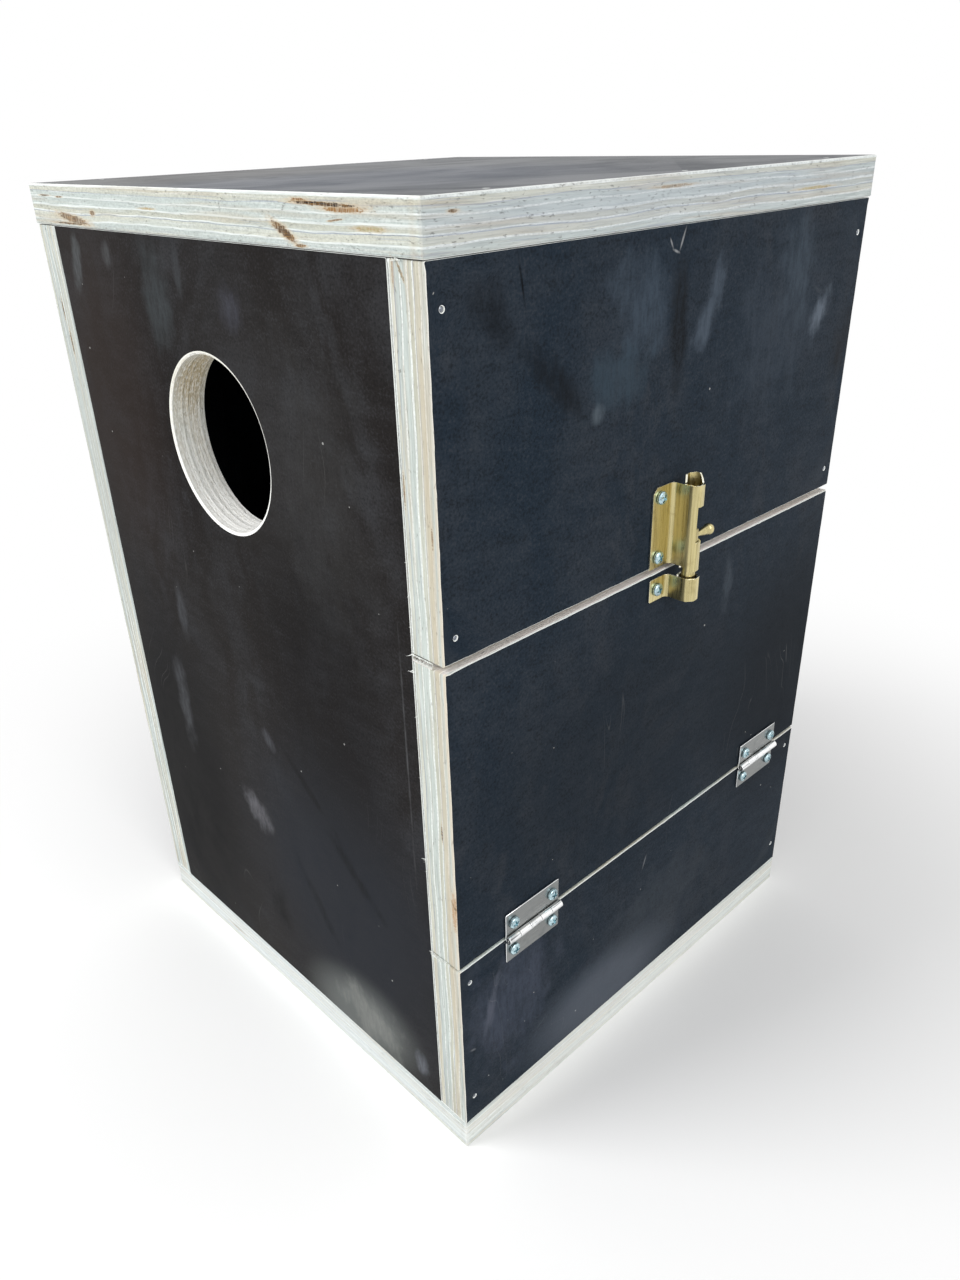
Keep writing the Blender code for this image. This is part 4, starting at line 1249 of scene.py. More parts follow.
def brad_tree():
    """One brad, its head up: a flat crown, the head, the shank and the point."""
    tree, given, result = start_tree(
        "brads",
        {
            "Head Radius": BRAD_HEAD,
            "Head Height": BRAD_HEAD_HEIGHT,
            "Shank Radius": BRAD_SHANK,
            "Length": BRAD_LENGTH,
        },
    )
    wide = given["Head Radius"]
    tall = given["Head Height"]
    thin = given["Shank Radius"]
    crown = times(tree, wide, BRAD_CROWN)
    bevel = times(tree, tall, 0.5)
    cap = round_taper(tree, BRAD_SIDES, crown, wide, bevel, times(tree, bevel, -1))
    deep = minus(tree, tall, bevel)
    middle = plus(tree, bevel, figure(tree, "DIVIDE", deep, 2))
    head = round_bar(tree, BRAD_SIDES, wide, deep, times(tree, middle, -1))
    point = times(tree, thin, BRAD_POINT)
    straight = minus(tree, minus(tree, given["Length"], tall), point)
    middle = plus(tree, tall, figure(tree, "DIVIDE", straight, 2))
    shank = round_bar(tree, BRAD_SIDES, thin, straight, times(tree, middle, -1))
    tip = round_taper(tree, BRAD_SIDES, thin, 0.0, point, times(tree, given["Length"], -1))
    copies = face_outward(tree, given["Geometry"], join_up(tree, cap, head, shank, tip))
    return finish_tree(tree, copies, given, result)


BRAD_WALLS = {
    "upper_side": (4, (1, 0, 0)),
    "lower_side": (4, (1, 0, 0)),
    "left_side": (6, (-1, 0, 0)),
    "roof": (6, (0, 0, 1)),
    "floor": (4, (0, 0, -1)),
}
brads = brad_tree()
for wall, (count, way) in BRAD_WALLS.items():
    nodes = numbered(wall + "_nail", count)
    out = Vector(way)
    places = []
    for number, node in enumerate(nodes):
        near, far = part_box(node)
        head = (near + far) / 2
        for axis in range(3):
            if out[axis]:
                head[axis] = far[axis] if out[axis] > 0 else near[axis]
        places.append((head, out, BRAD_TURN * number))
    made = run_tree(brads, fastener_points(places), {"Material": BRAD_STEEL})
    keep_mesh(wall + "_brads", made, "case", nodes)

# Torn fibres at the saw cuts
# The saw pulled pale wood fibres out of the near edge, so they nearly close both cuts there.
# A node tree sets curled slivers along each torn edge, every one its own length and lean.
FIBRE_SIDES = 5
FIBRE_STEPS = 4
FIBRE_CURL = 110.0
FIBRE_SHORTEST = 0.30
TEAR_STEP = 0.0005
TEAR_PROUD = 0.00005
FIRST_SEED = 11


def fibre_tree():
    """Curled slivers along an edge, strayed from the way out and of mixed lengths by a fixed seed."""
    tree, given, result = start_tree(
        "torn fibres",
        {
            "Length": 0.001,
            "Radius": 0.0002,
            "Spacing": 0.0003,
            "Curl": FIBRE_CURL,
            "Lean": 0.5,
            "Seed": 1,
        },
    )
    feeds = {"Vertices": FIBRE_SIDES, "Side Segments": FIBRE_STEPS, "Depth": given["Length"]}
    feeds.update({"Radius Top": 0.0, "Radius Bottom": given["Radius"]})
    sliver = shape_node(tree, "MeshCone", feeds)
    spot = shape_node(tree, "InputPosition")
    height = place_node(tree, "ShaderNodeSeparateXYZ", {0: spot}).outputs[2]
    bow = times(tree, times(tree, height, height), given["Curl"])
    feeds = {"Geometry": sliver, "Offset": arrow(tree, x=bow)}
    sliver = shape_node(tree, "SetPosition", feeds)
    edge = shape_node(tree, "MeshToCurve", {0: given["Geometry"]})
    feeds = {"Curve": edge, "Length": given["Spacing"]}
    edge = shape_node(tree, "ResampleCurve", feeds, mode="LENGTH")
    outward = point_value(tree, "outward", "FLOAT_VECTOR")
    feeds = {"Min": (-1.0, -1.0, -1.0), "Max": (1.0, 1.0, 1.0), "Seed": given["Seed"]}
    stray = place_node(tree, "FunctionNodeRandomValue", feeds, data_type="FLOAT_VECTOR").outputs[0]
    feeds = {0: stray, 3: given["Lean"]}
    stray = place_node(tree, "ShaderNodeVectorMath", feeds, operation="SCALE").outputs[0]
    turned = turned_to(tree, arrow_figure(tree, "ADD", outward, stray))
    feeds = {2: FIBRE_SHORTEST, 3: 1.0, "Seed": plus(tree, given["Seed"], 7)}
    size = place_node(tree, "FunctionNodeRandomValue", feeds, data_type="FLOAT").outputs[1]
    feeds = {"Points": edge, "Instance": sliver, "Rotation": turned, "Scale": size}
    copies = shape_node(tree, "InstanceOnPoints", feeds)
    return finish_tree(tree, copies, given, result)


def torn_edge(start, end, out):
    """An edge of torn wood on the front's face, each point with the way its fibres stick out."""
    start = Vector((start[0], TEAR_FACE, start[1]))
    end = Vector((end[0], TEAR_FACE, end[1]))
    count = max(2, round((end - start).length / TEAR_STEP))
    places = [start.lerp(end, i / (count - 1)) for i in range(count)]
    edges = [(i, i + 1) for i in range(count - 1)]
    return outward_points("torn edge", places, edges, [out] * count)


# Each torn edge: from (x, z) to (x, z), the way out, fibre length, fibre thickness, lean, spacing
TEAR_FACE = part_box("front_panel")[0].y - TEAR_PROUD
HEAD_CUT = upper_low.z
FOOT_CUT = lower_high.z
DOOR_HEAD = door_high.z
DOOR_FOOT = door_low.z
CASE_TEARS = (
    ((0.1263, HEAD_CUT), (0.1380, HEAD_CUT), (0, -0.12, -1), 0.0009, 0.00018, 0.5, 0.00016),
    ((0.1263, HEAD_CUT), (0.1360, HEAD_CUT), (0.1, -0.2, -1), 0.0021, 0.00026, 0.6, 0.0011),
    ((0.1261, HEAD_CUT), (0.1268, HEAD_CUT), (-1, -0.2, -0.5), 0.0034, 0.00032, 0.3, 0.0006),
    ((0.1263, FOOT_CUT), (0.1390, FOOT_CUT), (-0.1, -0.12, 1), 0.0009, 0.00022, 0.6, 0.00030),
    ((0.1262, FOOT_CUT), (0.1267, FOOT_CUT - 0.001), (-1, -0.3, 0.4), 0.0022, 0.00028, 0.5, 0.0006),
    ((0.1290, 0.4213), (0.1326, 0.4213), (-0.1, -1, 0.7), 0.0024, 0.00034, 0.8, 0.00028),
    (
        (0.1266, FOOT_CUT - 0.0005),
        (0.1330, FOOT_CUT - 0.0007),
        (0.2, -1, 0.4),
        0.0015,
        0.0003,
        0.9,
        0.0003,
    ),
    ((-0.1420, 0.0192), (-0.1340, 0.0192), (0, -0.7, 0.5), 0.0018, 0.00028, 0.8, 0.0009),
    ((0.1262, 0.3300), (0.1262, 0.2900), (-1, -0.3, -0.4), 0.0012, 0.00022, 0.6, 0.0060),
)
DOOR_TEARS = (
    ((0.1263, DOOR_HEAD), (0.1372, DOOR_HEAD), (0, -0.12, 1), 0.0021, 0.00022, 0.35, 0.00013),
    (
        (0.1261, DOOR_HEAD - 0.0044),
        (0.1263, DOOR_HEAD - 0.0052),
        (-1, -0.2, -0.5),
        0.0036,
        0.00034,
        0.2,
        0.0005,
    ),
    ((0.1263, DOOR_FOOT), (0.1380, DOOR_FOOT), (-0.1, -0.12, -1), 0.0008, 0.00022, 0.6, 0.00032),
    ((0.1262, DOOR_FOOT + 0.001), (0.1264, DOOR_FOOT), (-1, -0.3, 0.1), 0.0020, 0.00026, 0.5, 0.0007),
    ((0.1262, 0.1770), (0.1262, 0.1758), (-1, -0.5, -0.3), 0.0036, 0.00034, 0.3, 0.0005),
    ((0.1262, 0.2600), (0.1262, 0.1700), (-1, -0.3, -0.4), 0.0013, 0.00022, 0.6, 0.0090),
)
fibres = fibre_tree()
seed = FIRST_SEED
for body, edges in (("case", CASE_TEARS), ("door", DOOR_TEARS)):
    tufts = []
    for start, end, out, length, radius, lean, spacing in edges:
        values = {"Length": length, "Radius": radius, "Lean": lean, "Spacing": spacing, "Seed": seed}
        values["Material"] = SAWN_WOOD
        tufts.append(run_tree(fibres, torn_edge(start, end, out), values))
        seed += 1
    keep_mesh(body + "_torn_fibres", joined(tufts), body, [])

# Butt hinges of the inspection door
# Two small leaves of zinc-plated steel, blanked flat; the tongues are rolled round a steel pin.
# The door leaf carries three knuckles and the fixed leaf two.
LEAF_THICKNESS = 0.0009
LEAF_WIDTH = 0.0145
KNUCKLE_COUNT = 5
KNUCKLE_ROLL = 0.00155
KNUCKLE_SWEEP = math.radians(292)
KNUCKLE_ROOM = 0.0003
LEAF_NOTCH = 0.0023
LEAF_HOLE = 0.0016
LEAF_CORNER = 0.0004
LEAF_SCREW_INSET = 0.0050
ROLL_STEP = math.radians(12)
HOLE_STEPS = 20
SHEET_EDGE = 0.00018
PIN_RADIUS = 0.0008
PIN_DOME = 0.00035
PIN_STEPS = 24
ZINC = metal_material(
    "zinc plate", (146, 148, 147), (122, 125, 126), 0.30, (60, 60, 1700), 0.2, 0.000006
)
# The edge finish is bright for a painted highlight on cut edges and bevels; the knuckle finish is bright
# for painted highlights, and its dark streaks are painted reflections
ZINC_EDGE_PAINTED_HIGHLIGHT = metal_material(
    "zinc edge painted highlight", (246, 248, 248), (206, 210, 212), 0.16, (300, 300, 300), 0.3, 0.000002
)
ZINC_KNUCKLE_PAINTED_REFLECTIONS = metal_material(
    "zinc knuckle painted highlights and reflections", (240, 242, 242), (88, 92, 96), 0.20, (40, 40, 1300), 0.9, 0.000004
)


def flat_blank(outline, holes):
    """A flat pattern cut from sheet metal: an outline with round or other holes."""
    form = bmesh.new()
    edges = []
    for loop in [outline, *holes]:
        verts = [form.verts.new((u, v, 0)) for u, v in loop]
        edges += [form.edges.new((verts[i - 1], verts[i])) for i in range(len(verts))]
    bmesh.ops.triangle_fill(form, use_beauty=True, edges=edges)
    return form


def round_hole(centre, radius):
    """The outline of a round hole in a flat blank."""
    return [tuple(spot) for spot, _ in circle_walk(Vector(centre), radius, HOLE_STEPS)]


def roll_blank(form, creases, bend, thickness, painted_highlight_from=1.0):
    """Crease a flat blank across its run, bend it to its path and give it its thickness.

    bend turns a distance along the blank and one across it into a place and the sheet's normal.
    Past the given point along the blank the sheet takes the third finish, with painted highlights,
    and its cut edges take the second, with a painted highlight.
    """
    for crease in creases:
        parts = form.verts[:] + form.edges[:] + form.faces[:]
        bmesh.ops.bisect_plane(form, geom=parts, dist=1e-7, plane_co=(crease, 0, 0), plane_no=(1, 0, 0))
    form.verts.index_update()
    rim = [edge for edge in form.edges if len(edge.link_faces) == 1]
    flat = [tuple(vert.co) for vert in form.verts]
    faces = [[vert.index for vert in face.verts] for face in form.faces]
    rim = [[vert.index for vert in edge.verts] for edge in rim]
    form.free()
    rolled = bmesh.new()
    fronts, backs = [], []
    for u, v, _ in flat:
        place, normal = bend(u, v)
        fronts.append(rolled.verts.new(place + normal * thickness / 2))
        backs.append(rolled.verts.new(place - normal * thickness / 2))
    for face in faces:
        # Past the given point the sheet takes the finish with painted highlights
        finish = 2 if min(flat[i][0] for i in face) > painted_highlight_from else 0
        for skin in ([fronts[i] for i in face], [backs[i] for i in face[::-1]]):
            side = rolled.faces.new(skin)
            side.smooth = True
            side.material_index = finish
    for first, second in rim:
        side = rolled.faces.new((fronts[first], backs[first], backs[second], fronts[second]))
        side.smooth = True
        # Cut edges take the finish with a painted highlight
        side.material_index = 1
    return rolled


def finish_sheet(node, form, materials, body):
    """Keep a rolled sheet as its CAD node's piece, with the sharp edge taken off it by a bevel in the
    second finish, a painted highlight.
    """
    piece = finish_piece("rolled_" + node, form, materials, body, [node])
    bevel = piece.modifiers.new("deburred", "BEVEL")
    bevel.width = SHEET_EDGE
    bevel.segments = 2
    bevel.limit_method = "ANGLE"
    bevel.angle_limit = math.radians(50)
    # The bevel takes the finish with a painted highlight
    bevel.material = 1


def leaf_outline(length, own):
    """The leaf's flat pattern: a plate whose own tongues run on to be rolled."""
    reach = LEAF_WIDTH + KNUCKLE_ROLL * KNUCKLE_SWEEP
    notch = LEAF_WIDTH - LEAF_NOTCH
    pitch = length / KNUCKLE_COUNT
    half = length / 2
    outline = [(0, LEAF_CORNER - half), (LEAF_CORNER, -half)]
    for number in range(KNUCKLE_COUNT):
        low = number * pitch - half + (KNUCKLE_ROOM / 2 if number else 0)
        high = (number + 1) * pitch - half - (KNUCKLE_ROOM / 2 if number < KNUCKLE_COUNT - 1 else 0)
        if number in own:
            outline += [(notch, low), (reach, low), (reach, high), (notch, high)]
        elif number == 0:
            outline.append((notch, -half))
        elif number == KNUCKLE_COUNT - 1:
            outline.append((notch, half))
    outline += [(LEAF_CORNER, half), (0, half - LEAF_CORNER)]
    single = outline[:1]
    for spot in outline[1:]:
        if (Vector(spot) - Vector(single[-1])).length > 1e-6:
            single.append(spot)
    return single


def roll_leaf(side, word, rise, own, body):
    """One leaf of a hinge, rise being 1 for the leaf above the pin and -1 for the one below."""
    axis = middle_of(f"{side}_hinge_pin")
    low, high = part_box(f"{side}_hinge_door_leaf")
    length = high.y - low.y
    drop = (LEAF_NOTCH + LEAF_WIDTH - KNUCKLE_ROOM) / 2
    spread = length / 2 - LEAF_SCREW_INSET
    holes = [round_hole((LEAF_WIDTH - drop, v), LEAF_HOLE) for v in (-spread, spread)]

    def bend(u, v):
        """Flat up to the pin's edge, then round the pin."""
        if u <= LEAF_WIDTH:
            return axis + Vector((-KNUCKLE_ROLL, v, rise * (LEAF_WIDTH - u))), Vector((1, 0, 0))
        angle = math.pi + (u - LEAF_WIDTH) / KNUCKLE_ROLL
        out = Vector((math.cos(angle), 0, rise * math.sin(angle)))
        return axis + out * KNUCKLE_ROLL + Vector((0, v, 0)), -out

    turns = math.ceil(KNUCKLE_SWEEP / ROLL_STEP)
    creases = [LEAF_WIDTH + KNUCKLE_ROLL * KNUCKLE_SWEEP * i / turns for i in range(turns)]
    blank = flat_blank(leaf_outline(length, own), holes)
    form = roll_blank(blank, creases, bend, LEAF_THICKNESS, LEAF_WIDTH + LEAF_THICKNESS)
    # The knuckles take painted highlights and reflections, the cut edges a painted highlight
    finishes = [ZINC, ZINC_EDGE_PAINTED_HIGHLIGHT, ZINC_KNUCKLE_PAINTED_REFLECTIONS]
    finish_sheet(f"{side}_hinge_{word}_leaf", form, finishes, body)


def turned_piece(node, outline, steps, origin, axis, material, body):
    """Turn an outline of (radius, height) points about an axis into a closed round part."""
    form = bmesh.new()
    frame_turn = Vector((0, 0, 1)).rotation_difference(axis).to_matrix()
    points = [form.verts.new((radius, 0, height)) for radius, height in outline]
    edges = [form.edges.new(pair) for pair in zip(points, points[1:])]
    bmesh.ops.spin(
        form, geom=points + edges, axis=(0, 0, 1), cent=(0, 0, 0), angle=math.tau, steps=steps
    )
    bmesh.ops.remove_doubles(form, verts=form.verts, dist=1e-6)
    for face in form.faces:
        face.smooth = True
    bmesh.ops.rotate(form, verts=form.verts, cent=(0, 0, 0), matrix=frame_turn)
    bmesh.ops.translate(form, verts=form.verts, vec=origin)
    finish_piece("turned_" + node, form, [material], body, [node])


def arc(centre, radius, first, last, count):
    """Points of a turned outline round a centre, angles in degrees from straight out to up."""
    points = []
    for i in range(count + 1):
        angle = math.radians(first + (last - first) * i / count)
        points.append((centre[0] + radius * math.cos(angle), centre[1] + radius * math.sin(angle)))
    return points


SIDEWAYS = Vector((0, 1, 0))
UPWARD = Vector((0, 0, 1))
for side in ("near", "far"):
    roll_leaf(side, "door", 1, (0, 2, 4), "door")
    roll_leaf(side, "fixed", -1, (1, 3), "case")
    near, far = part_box(side + "_hinge_pin")
    reach = (far.y - near.y) / 2
    dome = arc((PIN_RADIUS - PIN_DOME, reach - PIN_DOME), PIN_DOME, 0, 90, 4)
    outline = [(0, reach), *dome[::-1], *[(r, -h) for r, h in dome], (0, -reach)]
    middle = (near + far) / 2
    turned_piece(
        side + "_hinge_pin", outline, PIN_STEPS, middle, SIDEWAYS, ZINC, "case"
    )

# Barrel bolt
# Brass sheet blanked flat with a slot for the knob, then rolled into a barrel beside its flange.
# A turned rod slides in it, with a turned knob screwed into its side, and a keeper on the door.
BOLT_SHEET = 0.0008
BOLT_WALL = 0.0003
BARREL_ROLL = 0.0038
KEEPER_ROLL = 0.0045
BOLT_BEND = 0.0026
FLANGE_REACH = 0.0182
KEEPER_REACH = 0.0172
FLANGE_LENGTH = 0.0383
FLANGE_CLIP = 0.0025
JOIN_TURN = -80
TAIL_TURN = 220
TONGUE_RISE = 0.0040
TONGUE_TURN = (62, 92)
BARREL_DROP = 0.0022
SLOT_TURN = (-26, 122, 150)
SLOT_RISE = (0.0117, 0.0284)
LIP = (0.01575, 0.02435)
BOLT_SCREW_INSET = 0.0053
BOLT_SCREW_ENDS = (0.0051, 0.0332)
ROD_RADIUS = 0.0031
FACET = math.radians(45)
FACET_TURN = math.radians(-37 + 22.5)
FACET_SHARE = 0.75
FLANGE_CREASES = 8
BARREL_CREASES = 44
HEAD_STEPS = 40
FOOT_CLIP = 0.0004
HEAD_CLIP = 0.0005
TAIL_CLIP = 0.0006
KEEPER_CLIP = 0.0006
ROD_ROUND = 0.0006
ROD_FLAT = (0.0012, 0.00002)
ROD_STEPS = 48
KNOB_BALL = 0.0027
KNOB_STEM = 0.0013
KNOB_FOOT = ((0.92, 0), (1, 0.0002), (1, 0.0008), (0.86, 0.0011), (0.86, 0.0014))
KNOB_NECK_STEPS = 9
KNOB_NECK_TURN = -36
KNOB_STEPS = 32
BRASS = metal_material("brass", (196, 184, 136), (134, 118, 72), 0.28, (1300, 1300, 36), 0.5, 0.000008)
# The brass sheet's cut edges and bevels take a painted highlight
BRASS_EDGE_PAINTED_HIGHLIGHT = metal_material(
    "brass edge painted highlight", (250, 248, 230), (214, 204, 164), 0.18, (1300, 1300, 36), 0.3, 0.000004
)


def sheet_path(rod, roll, reach):
    """How the bolt's sheet runs from the flange's edge round its bend to the end of the barrel."""
    wall = BOLT_WALL + BOLT_SHEET / 2
    standoff = rod.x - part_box("upper_side_panel")[1].x
    back = wall - standoff
    flat = reach - roll - BOLT_BEND
    turn = BOLT_BEND * math.pi / 2
    web = -back - BOLT_BEND

    def bend(u, v):
        """Flat on the board, round the bend, up the web and round the rod, with faint facets."""
        if u < flat:
            return Vector((rod.x + back, rod.y - reach + u, v)), Vector((1, 0, 0))
        if u < flat + turn:
            angle = math.pi - (u - flat) / BOLT_BEND
            out = Vector((math.cos(angle), math.sin(angle), 0))
            centre = Vector((rod.x + back + BOLT_BEND, rod.y - roll - BOLT_BEND, v))
            return centre + out * BOLT_BEND, -out
        if u < flat + turn + web:
            run = u - flat - turn
            return Vector((rod.x + back + BOLT_BEND + run, rod.y - roll, v)), Vector((0, -1, 0))
        angle = (u - flat - turn - web) / roll - math.pi / 2
        out = Vector((math.cos(angle), math.sin(angle), 0))
        corner = (angle - FACET_TURN) % FACET - FACET / 2
        swell = FACET_SHARE * (1 / math.cos(corner) - 1)
        return Vector((rod.x, rod.y, v)) + out * roll * (1 + swell), out

    start = flat + turn + web
    tail = start + roll * math.radians(TAIL_TURN + 90)
    creases = [flat + turn * i / FLANGE_CREASES for i in range(FLANGE_CREASES + 1)]
    creases += [start + (tail - start) * i / BARREL_CREASES for i in range(BARREL_CREASES)]
    return bend, start, tail, creases


def roll_bolt_body(rod):
    """The bolt's body: a flange with two screw holes, and a barrel with the knob's slot and a tongue."""
    bend, start, tail, creases = sheet_path(rod, BARREL_ROLL, FLANGE_REACH)
    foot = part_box("bolt_body")[0].z + BARREL_DROP
    head = foot + FLANGE_LENGTH
    drop = foot - BARREL_DROP

    def unrolled(degrees):
        """How far along the flat blank an angle round the barrel lies."""
        return start + BARREL_ROLL * math.radians(degrees + 90)

    join = unrolled(JOIN_TURN)
    outline = [(0, foot), (join - FOOT_CLIP, foot), (join, foot - FOOT_CLIP), (join, drop)]
    outline += [(tail - TAIL_CLIP, drop), (tail, drop + TAIL_CLIP)]
    for step in range(HEAD_STEPS):
        degrees = TAIL_TURN + (JOIN_TURN - TAIL_TURN) * step / (HEAD_STEPS - 1)
        share = min(1, max(0, (degrees - TONGUE_TURN[0]) / (TONGUE_TURN[1] - TONGUE_TURN[0])))
        outline.append((unrolled(degrees), head + TONGUE_RISE * share))
    outline += [(join, head + HEAD_CLIP), (join - HEAD_CLIP, head)]
    outline += [(FLANGE_CLIP, head), (0, head - FLANGE_CLIP)]
    front, back, notch = (unrolled(degrees) for degrees in SLOT_TURN)
    low, high = (foot + rise for rise in SLOT_RISE)
    lip_low, lip_high = (foot + rise for rise in LIP)
    slot = [
        (front, low),
        (notch, low),
        (notch, lip_low),
        (back, lip_low),
        (back, lip_high),
        (notch, lip_high),
        (notch, high),
        (front, high),
    ]
    holes = [slot]
    holes += [round_hole((BOLT_SCREW_INSET, foot + rise), LEAF_HOLE) for rise in BOLT_SCREW_ENDS]
    form = roll_blank(flat_blank(outline, holes), creases, bend, BOLT_SHEET)
    # Its cut edges and bevels take the painted highlight
    finish_sheet("bolt_body", form, [BRASS, BRASS_EDGE_PAINTED_HIGHLIGHT], "case")


def roll_keeper(rod):
    """The keeper on the door: a short flange with one screw hole, rolled wide round the rod."""
    bend, _, tail, creases = sheet_path(rod, KEEPER_ROLL, KEEPER_REACH)
    near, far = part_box("bolt_keeper")
    low, high, clip = near.z, far.z, KEEPER_CLIP
    outline = [
        (clip, low),
        (tail - clip, low),
        (tail, low + clip),
        (tail, high - clip),
        (tail - clip, high),
        (clip, high),
        (0, high - clip),
        (0, low + clip),
    ]
    holes = [round_hole((BOLT_SCREW_INSET, (low + high) / 2), LEAF_HOLE)]
    form = roll_blank(flat_blank(outline, holes), creases, bend, BOLT_SHEET)
    finish_sheet("bolt_keeper", form, [BRASS, BRASS_EDGE_PAINTED_HIGHLIGHT], "door")


near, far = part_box("bolt_rod")
rod_axis = (near + far) / 2
roll_bolt_body(rod_axis)
roll_keeper(rod_axis)
reach = (far.z - near.z) / 2
ends = arc((ROD_RADIUS - ROD_ROUND, reach - ROD_ROUND), ROD_ROUND, 0, 72, 5)
outline = [(0, reach), (ROD_FLAT[0], reach - ROD_FLAT[1]), *ends[::-1]]
outline += [*[(r, -h) for r, h in ends], (0, -reach)]
turned_piece("bolt_rod", outline, ROD_STEPS, rod_axis, UPWARD, BRASS, "rod")

# The knob stands on its root along y: a foot screwed into the rod, a swelling neck and a ball
near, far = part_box("bolt_knob")
root, tip = near.y, far.y
crown = arc((0, tip - KNOB_BALL), KNOB_BALL, KNOB_NECK_TURN, 90, 14)
outline = [(0, root)] + [(KNOB_STEM * share, root + rise) for share, rise in KNOB_FOOT]
narrow = outline[-1][0]
wide, neck_head = crown[0]
neck_foot = KNOB_FOOT[-1][1]
for i in range(1, KNOB_NECK_STEPS):
    share = i / KNOB_NECK_STEPS
    swell = share * share * (3 - 2 * share)
    height = root + neck_foot + (neck_head - root - neck_foot) * share
    outline.append((narrow + (wide - narrow) * swell, height))
outline += crown[:-1] + [(0, tip)]
knob_axis = Vector(((near.x + far.x) / 2, 0, (near.z + far.z) / 2))
turned_piece("bolt_knob", outline, KNOB_STEPS, knob_axis, SIDEWAYS, BRASS, "knob")

# Pan head screws
# Eleven zinc-plated screws with a cross recess hold the hinges and the bolt.
# A node tree makes one with its thread and sets a copy at each seat, each head turned its own way.
SCREW_HEAD = 0.0031
SCREW_HEIGHT = 0.0019
SCREW_SHANK = 0.0010
SCREW_LENGTH = 0.012
THREAD_PITCH = 0.0009
THREAD_RISE = 0.00042
CROSS_WIDTH = 0.00085
CROSS_REACH = 0.00190
CROSS_DEPTH = 0.0011
HEAD_SEGMENTS = 28
HEAD_RINGS = 18
SHANK_SIDES = 16
SHANK_POINT = 2.6
THREAD_SHARE = 0.86
THREAD_STEPS = 14
THREAD_SIDES = 4
SCREW_STEEL = metal_material(
    "screw zinc", (176, 200, 206), (84, 100, 108), 0.17, (1100, 1100, 1100), 0.8, 0.000012
)


def screw_tree():
    """One screw, its head up: a dome with a cross cut into it, a shank, a point and a thread."""
    tree, given, result = start_tree(
        "pan head screws",
        {
            "Head Radius": SCREW_HEAD,
            "Head Height": SCREW_HEIGHT,
            "Shank Radius": SCREW_SHANK,
            "Length": SCREW_LENGTH,
            "Cross Width": CROSS_WIDTH,
            "Cross Reach": CROSS_REACH,
            "Cross Depth": CROSS_DEPTH,
            "Thread Pitch": THREAD_PITCH,
            "Thread Rise": THREAD_RISE,
        },
    )
    wide = given["Head Radius"]
    tall = given["Head Height"]
    thin = given["Shank Radius"]
    feeds = {"Segments": HEAD_SEGMENTS, "Rings": HEAD_RINGS, "Radius": 1.0}
    ball = shape_node(tree, "MeshUVSphere", feeds)
    spot = shape_node(tree, "InputPosition")
    height = place_node(tree, "ShaderNodeSeparateXYZ", {0: spot}).outputs[2]
    rise = figure(tree, "POWER", figure(tree, "MAXIMUM", height, 0.0), 0.5)
    flat = arrow_figure(tree, "MULTIPLY", spot, arrow(tree, wide, wide))
    dome = arrow_figure(tree, "ADD", flat, arrow(tree, z=times(tree, rise, tall)))
    head = shape_node(tree, "SetPosition", {"Geometry": ball, "Position": dome})
    width = given["Cross Width"]
    reach = times(tree, given["Cross Reach"], 2)
    depth = times(tree, given["Cross Depth"], 2)
    feeds = {"Mesh 1": head, "Self Intersection": True}
    cut = place_node(tree, "GeometryNodeMeshBoolean", feeds, solver="EXACT")
    for size in (arrow(tree, width, reach, depth), arrow(tree, reach, width, depth)):
        arm = shape_node(tree, "MeshCube", {"Size": size})
        tree.links.new(shifted(tree, arm, z=tall), cut.inputs["Mesh 2"])
    point = times(tree, thin, SHANK_POINT)
    straight = minus(tree, given["Length"], point)
    shank = round_bar(tree, SHANK_SIDES, thin, straight, figure(tree, "DIVIDE", straight, -2))
    tip = round_taper(tree, SHANK_SIDES, thin, 0.0, point, times(tree, given["Length"], -1))
    run = times(tree, straight, THREAD_SHARE)
    turns = figure(tree, "DIVIDE", run, given["Thread Pitch"])
    feeds = {"Resolution": THREAD_STEPS, "Rotations": turns, "Height": run}
    feeds.update({"Start Radius": thin, "End Radius": thin})
    spiral = shape_node(tree, "CurveSpiral", feeds)
    thread = round_wire(tree, spiral, THREAD_SIDES, given["Thread Rise"])
    thread = shifted(tree, thread, z=times(tree, straight, -1))
    single = join_up(tree, cut.outputs["Mesh"], shank, tip, thread)
    copies = face_outward(tree, given["Geometry"], single)
    return finish_tree(tree, copies, given, result)


HEAD_TURNS = (12, 71, 38, 55, 83, 24, 5, 47, 33, 62, 18)
SCREW_SETS = (
    ("hinge_door_screws", "door", door_screws),
    ("hinge_fixed_screws", "case", fixed_screws),
    ("bolt_body_screws", "case", bolt_screws),
    ("bolt_keeper_screw_zinc", "door", ["bolt_keeper_screw"]),
)
screws = screw_tree()
driven = 0
for name, body, nodes in SCREW_SETS:
    places = []
    for node in nodes:
        near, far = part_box(node)
        seat = Vector((far.x - SCREW_HEIGHT, (near.y + far.y) / 2, (near.z + far.z) / 2))
        places.append((seat, (1, 0, 0), HEAD_TURNS[driven]))
        driven += 1
    made = run_tree(screws, fastener_points(places), {"Material": SCREW_STEEL})
    keep_mesh(name, made, body, nodes)

# Climbing ladder
# Galvanised wire mesh, welded at every crossing, stapled inside the front panel under the entrance.
# One node tree draws wire along any path, the staples' too; another sets a weld on each crossing.
WIRE_RADIUS = 0.0008
STAPLE_WIRE = 0.0005
STAPLE_LEG = 0.0028
STAPLE_BEND = 0.0008
LADDER_PITCH = 0.019
WIRE_OVERHANG = 0.003
WIRE_SIDES = 10
BEND_STEPS = 5
UPRIGHTS = 5
WELD_RADIUS = WIRE_RADIUS * 1.25
WELD_FLATNESS = 0.8
GALVANISED = metal_material(
    "galvanised wire", (176, 180, 184), (118, 120, 124), 0.40, (700, 700, 700), 0.4, 0.00002
)


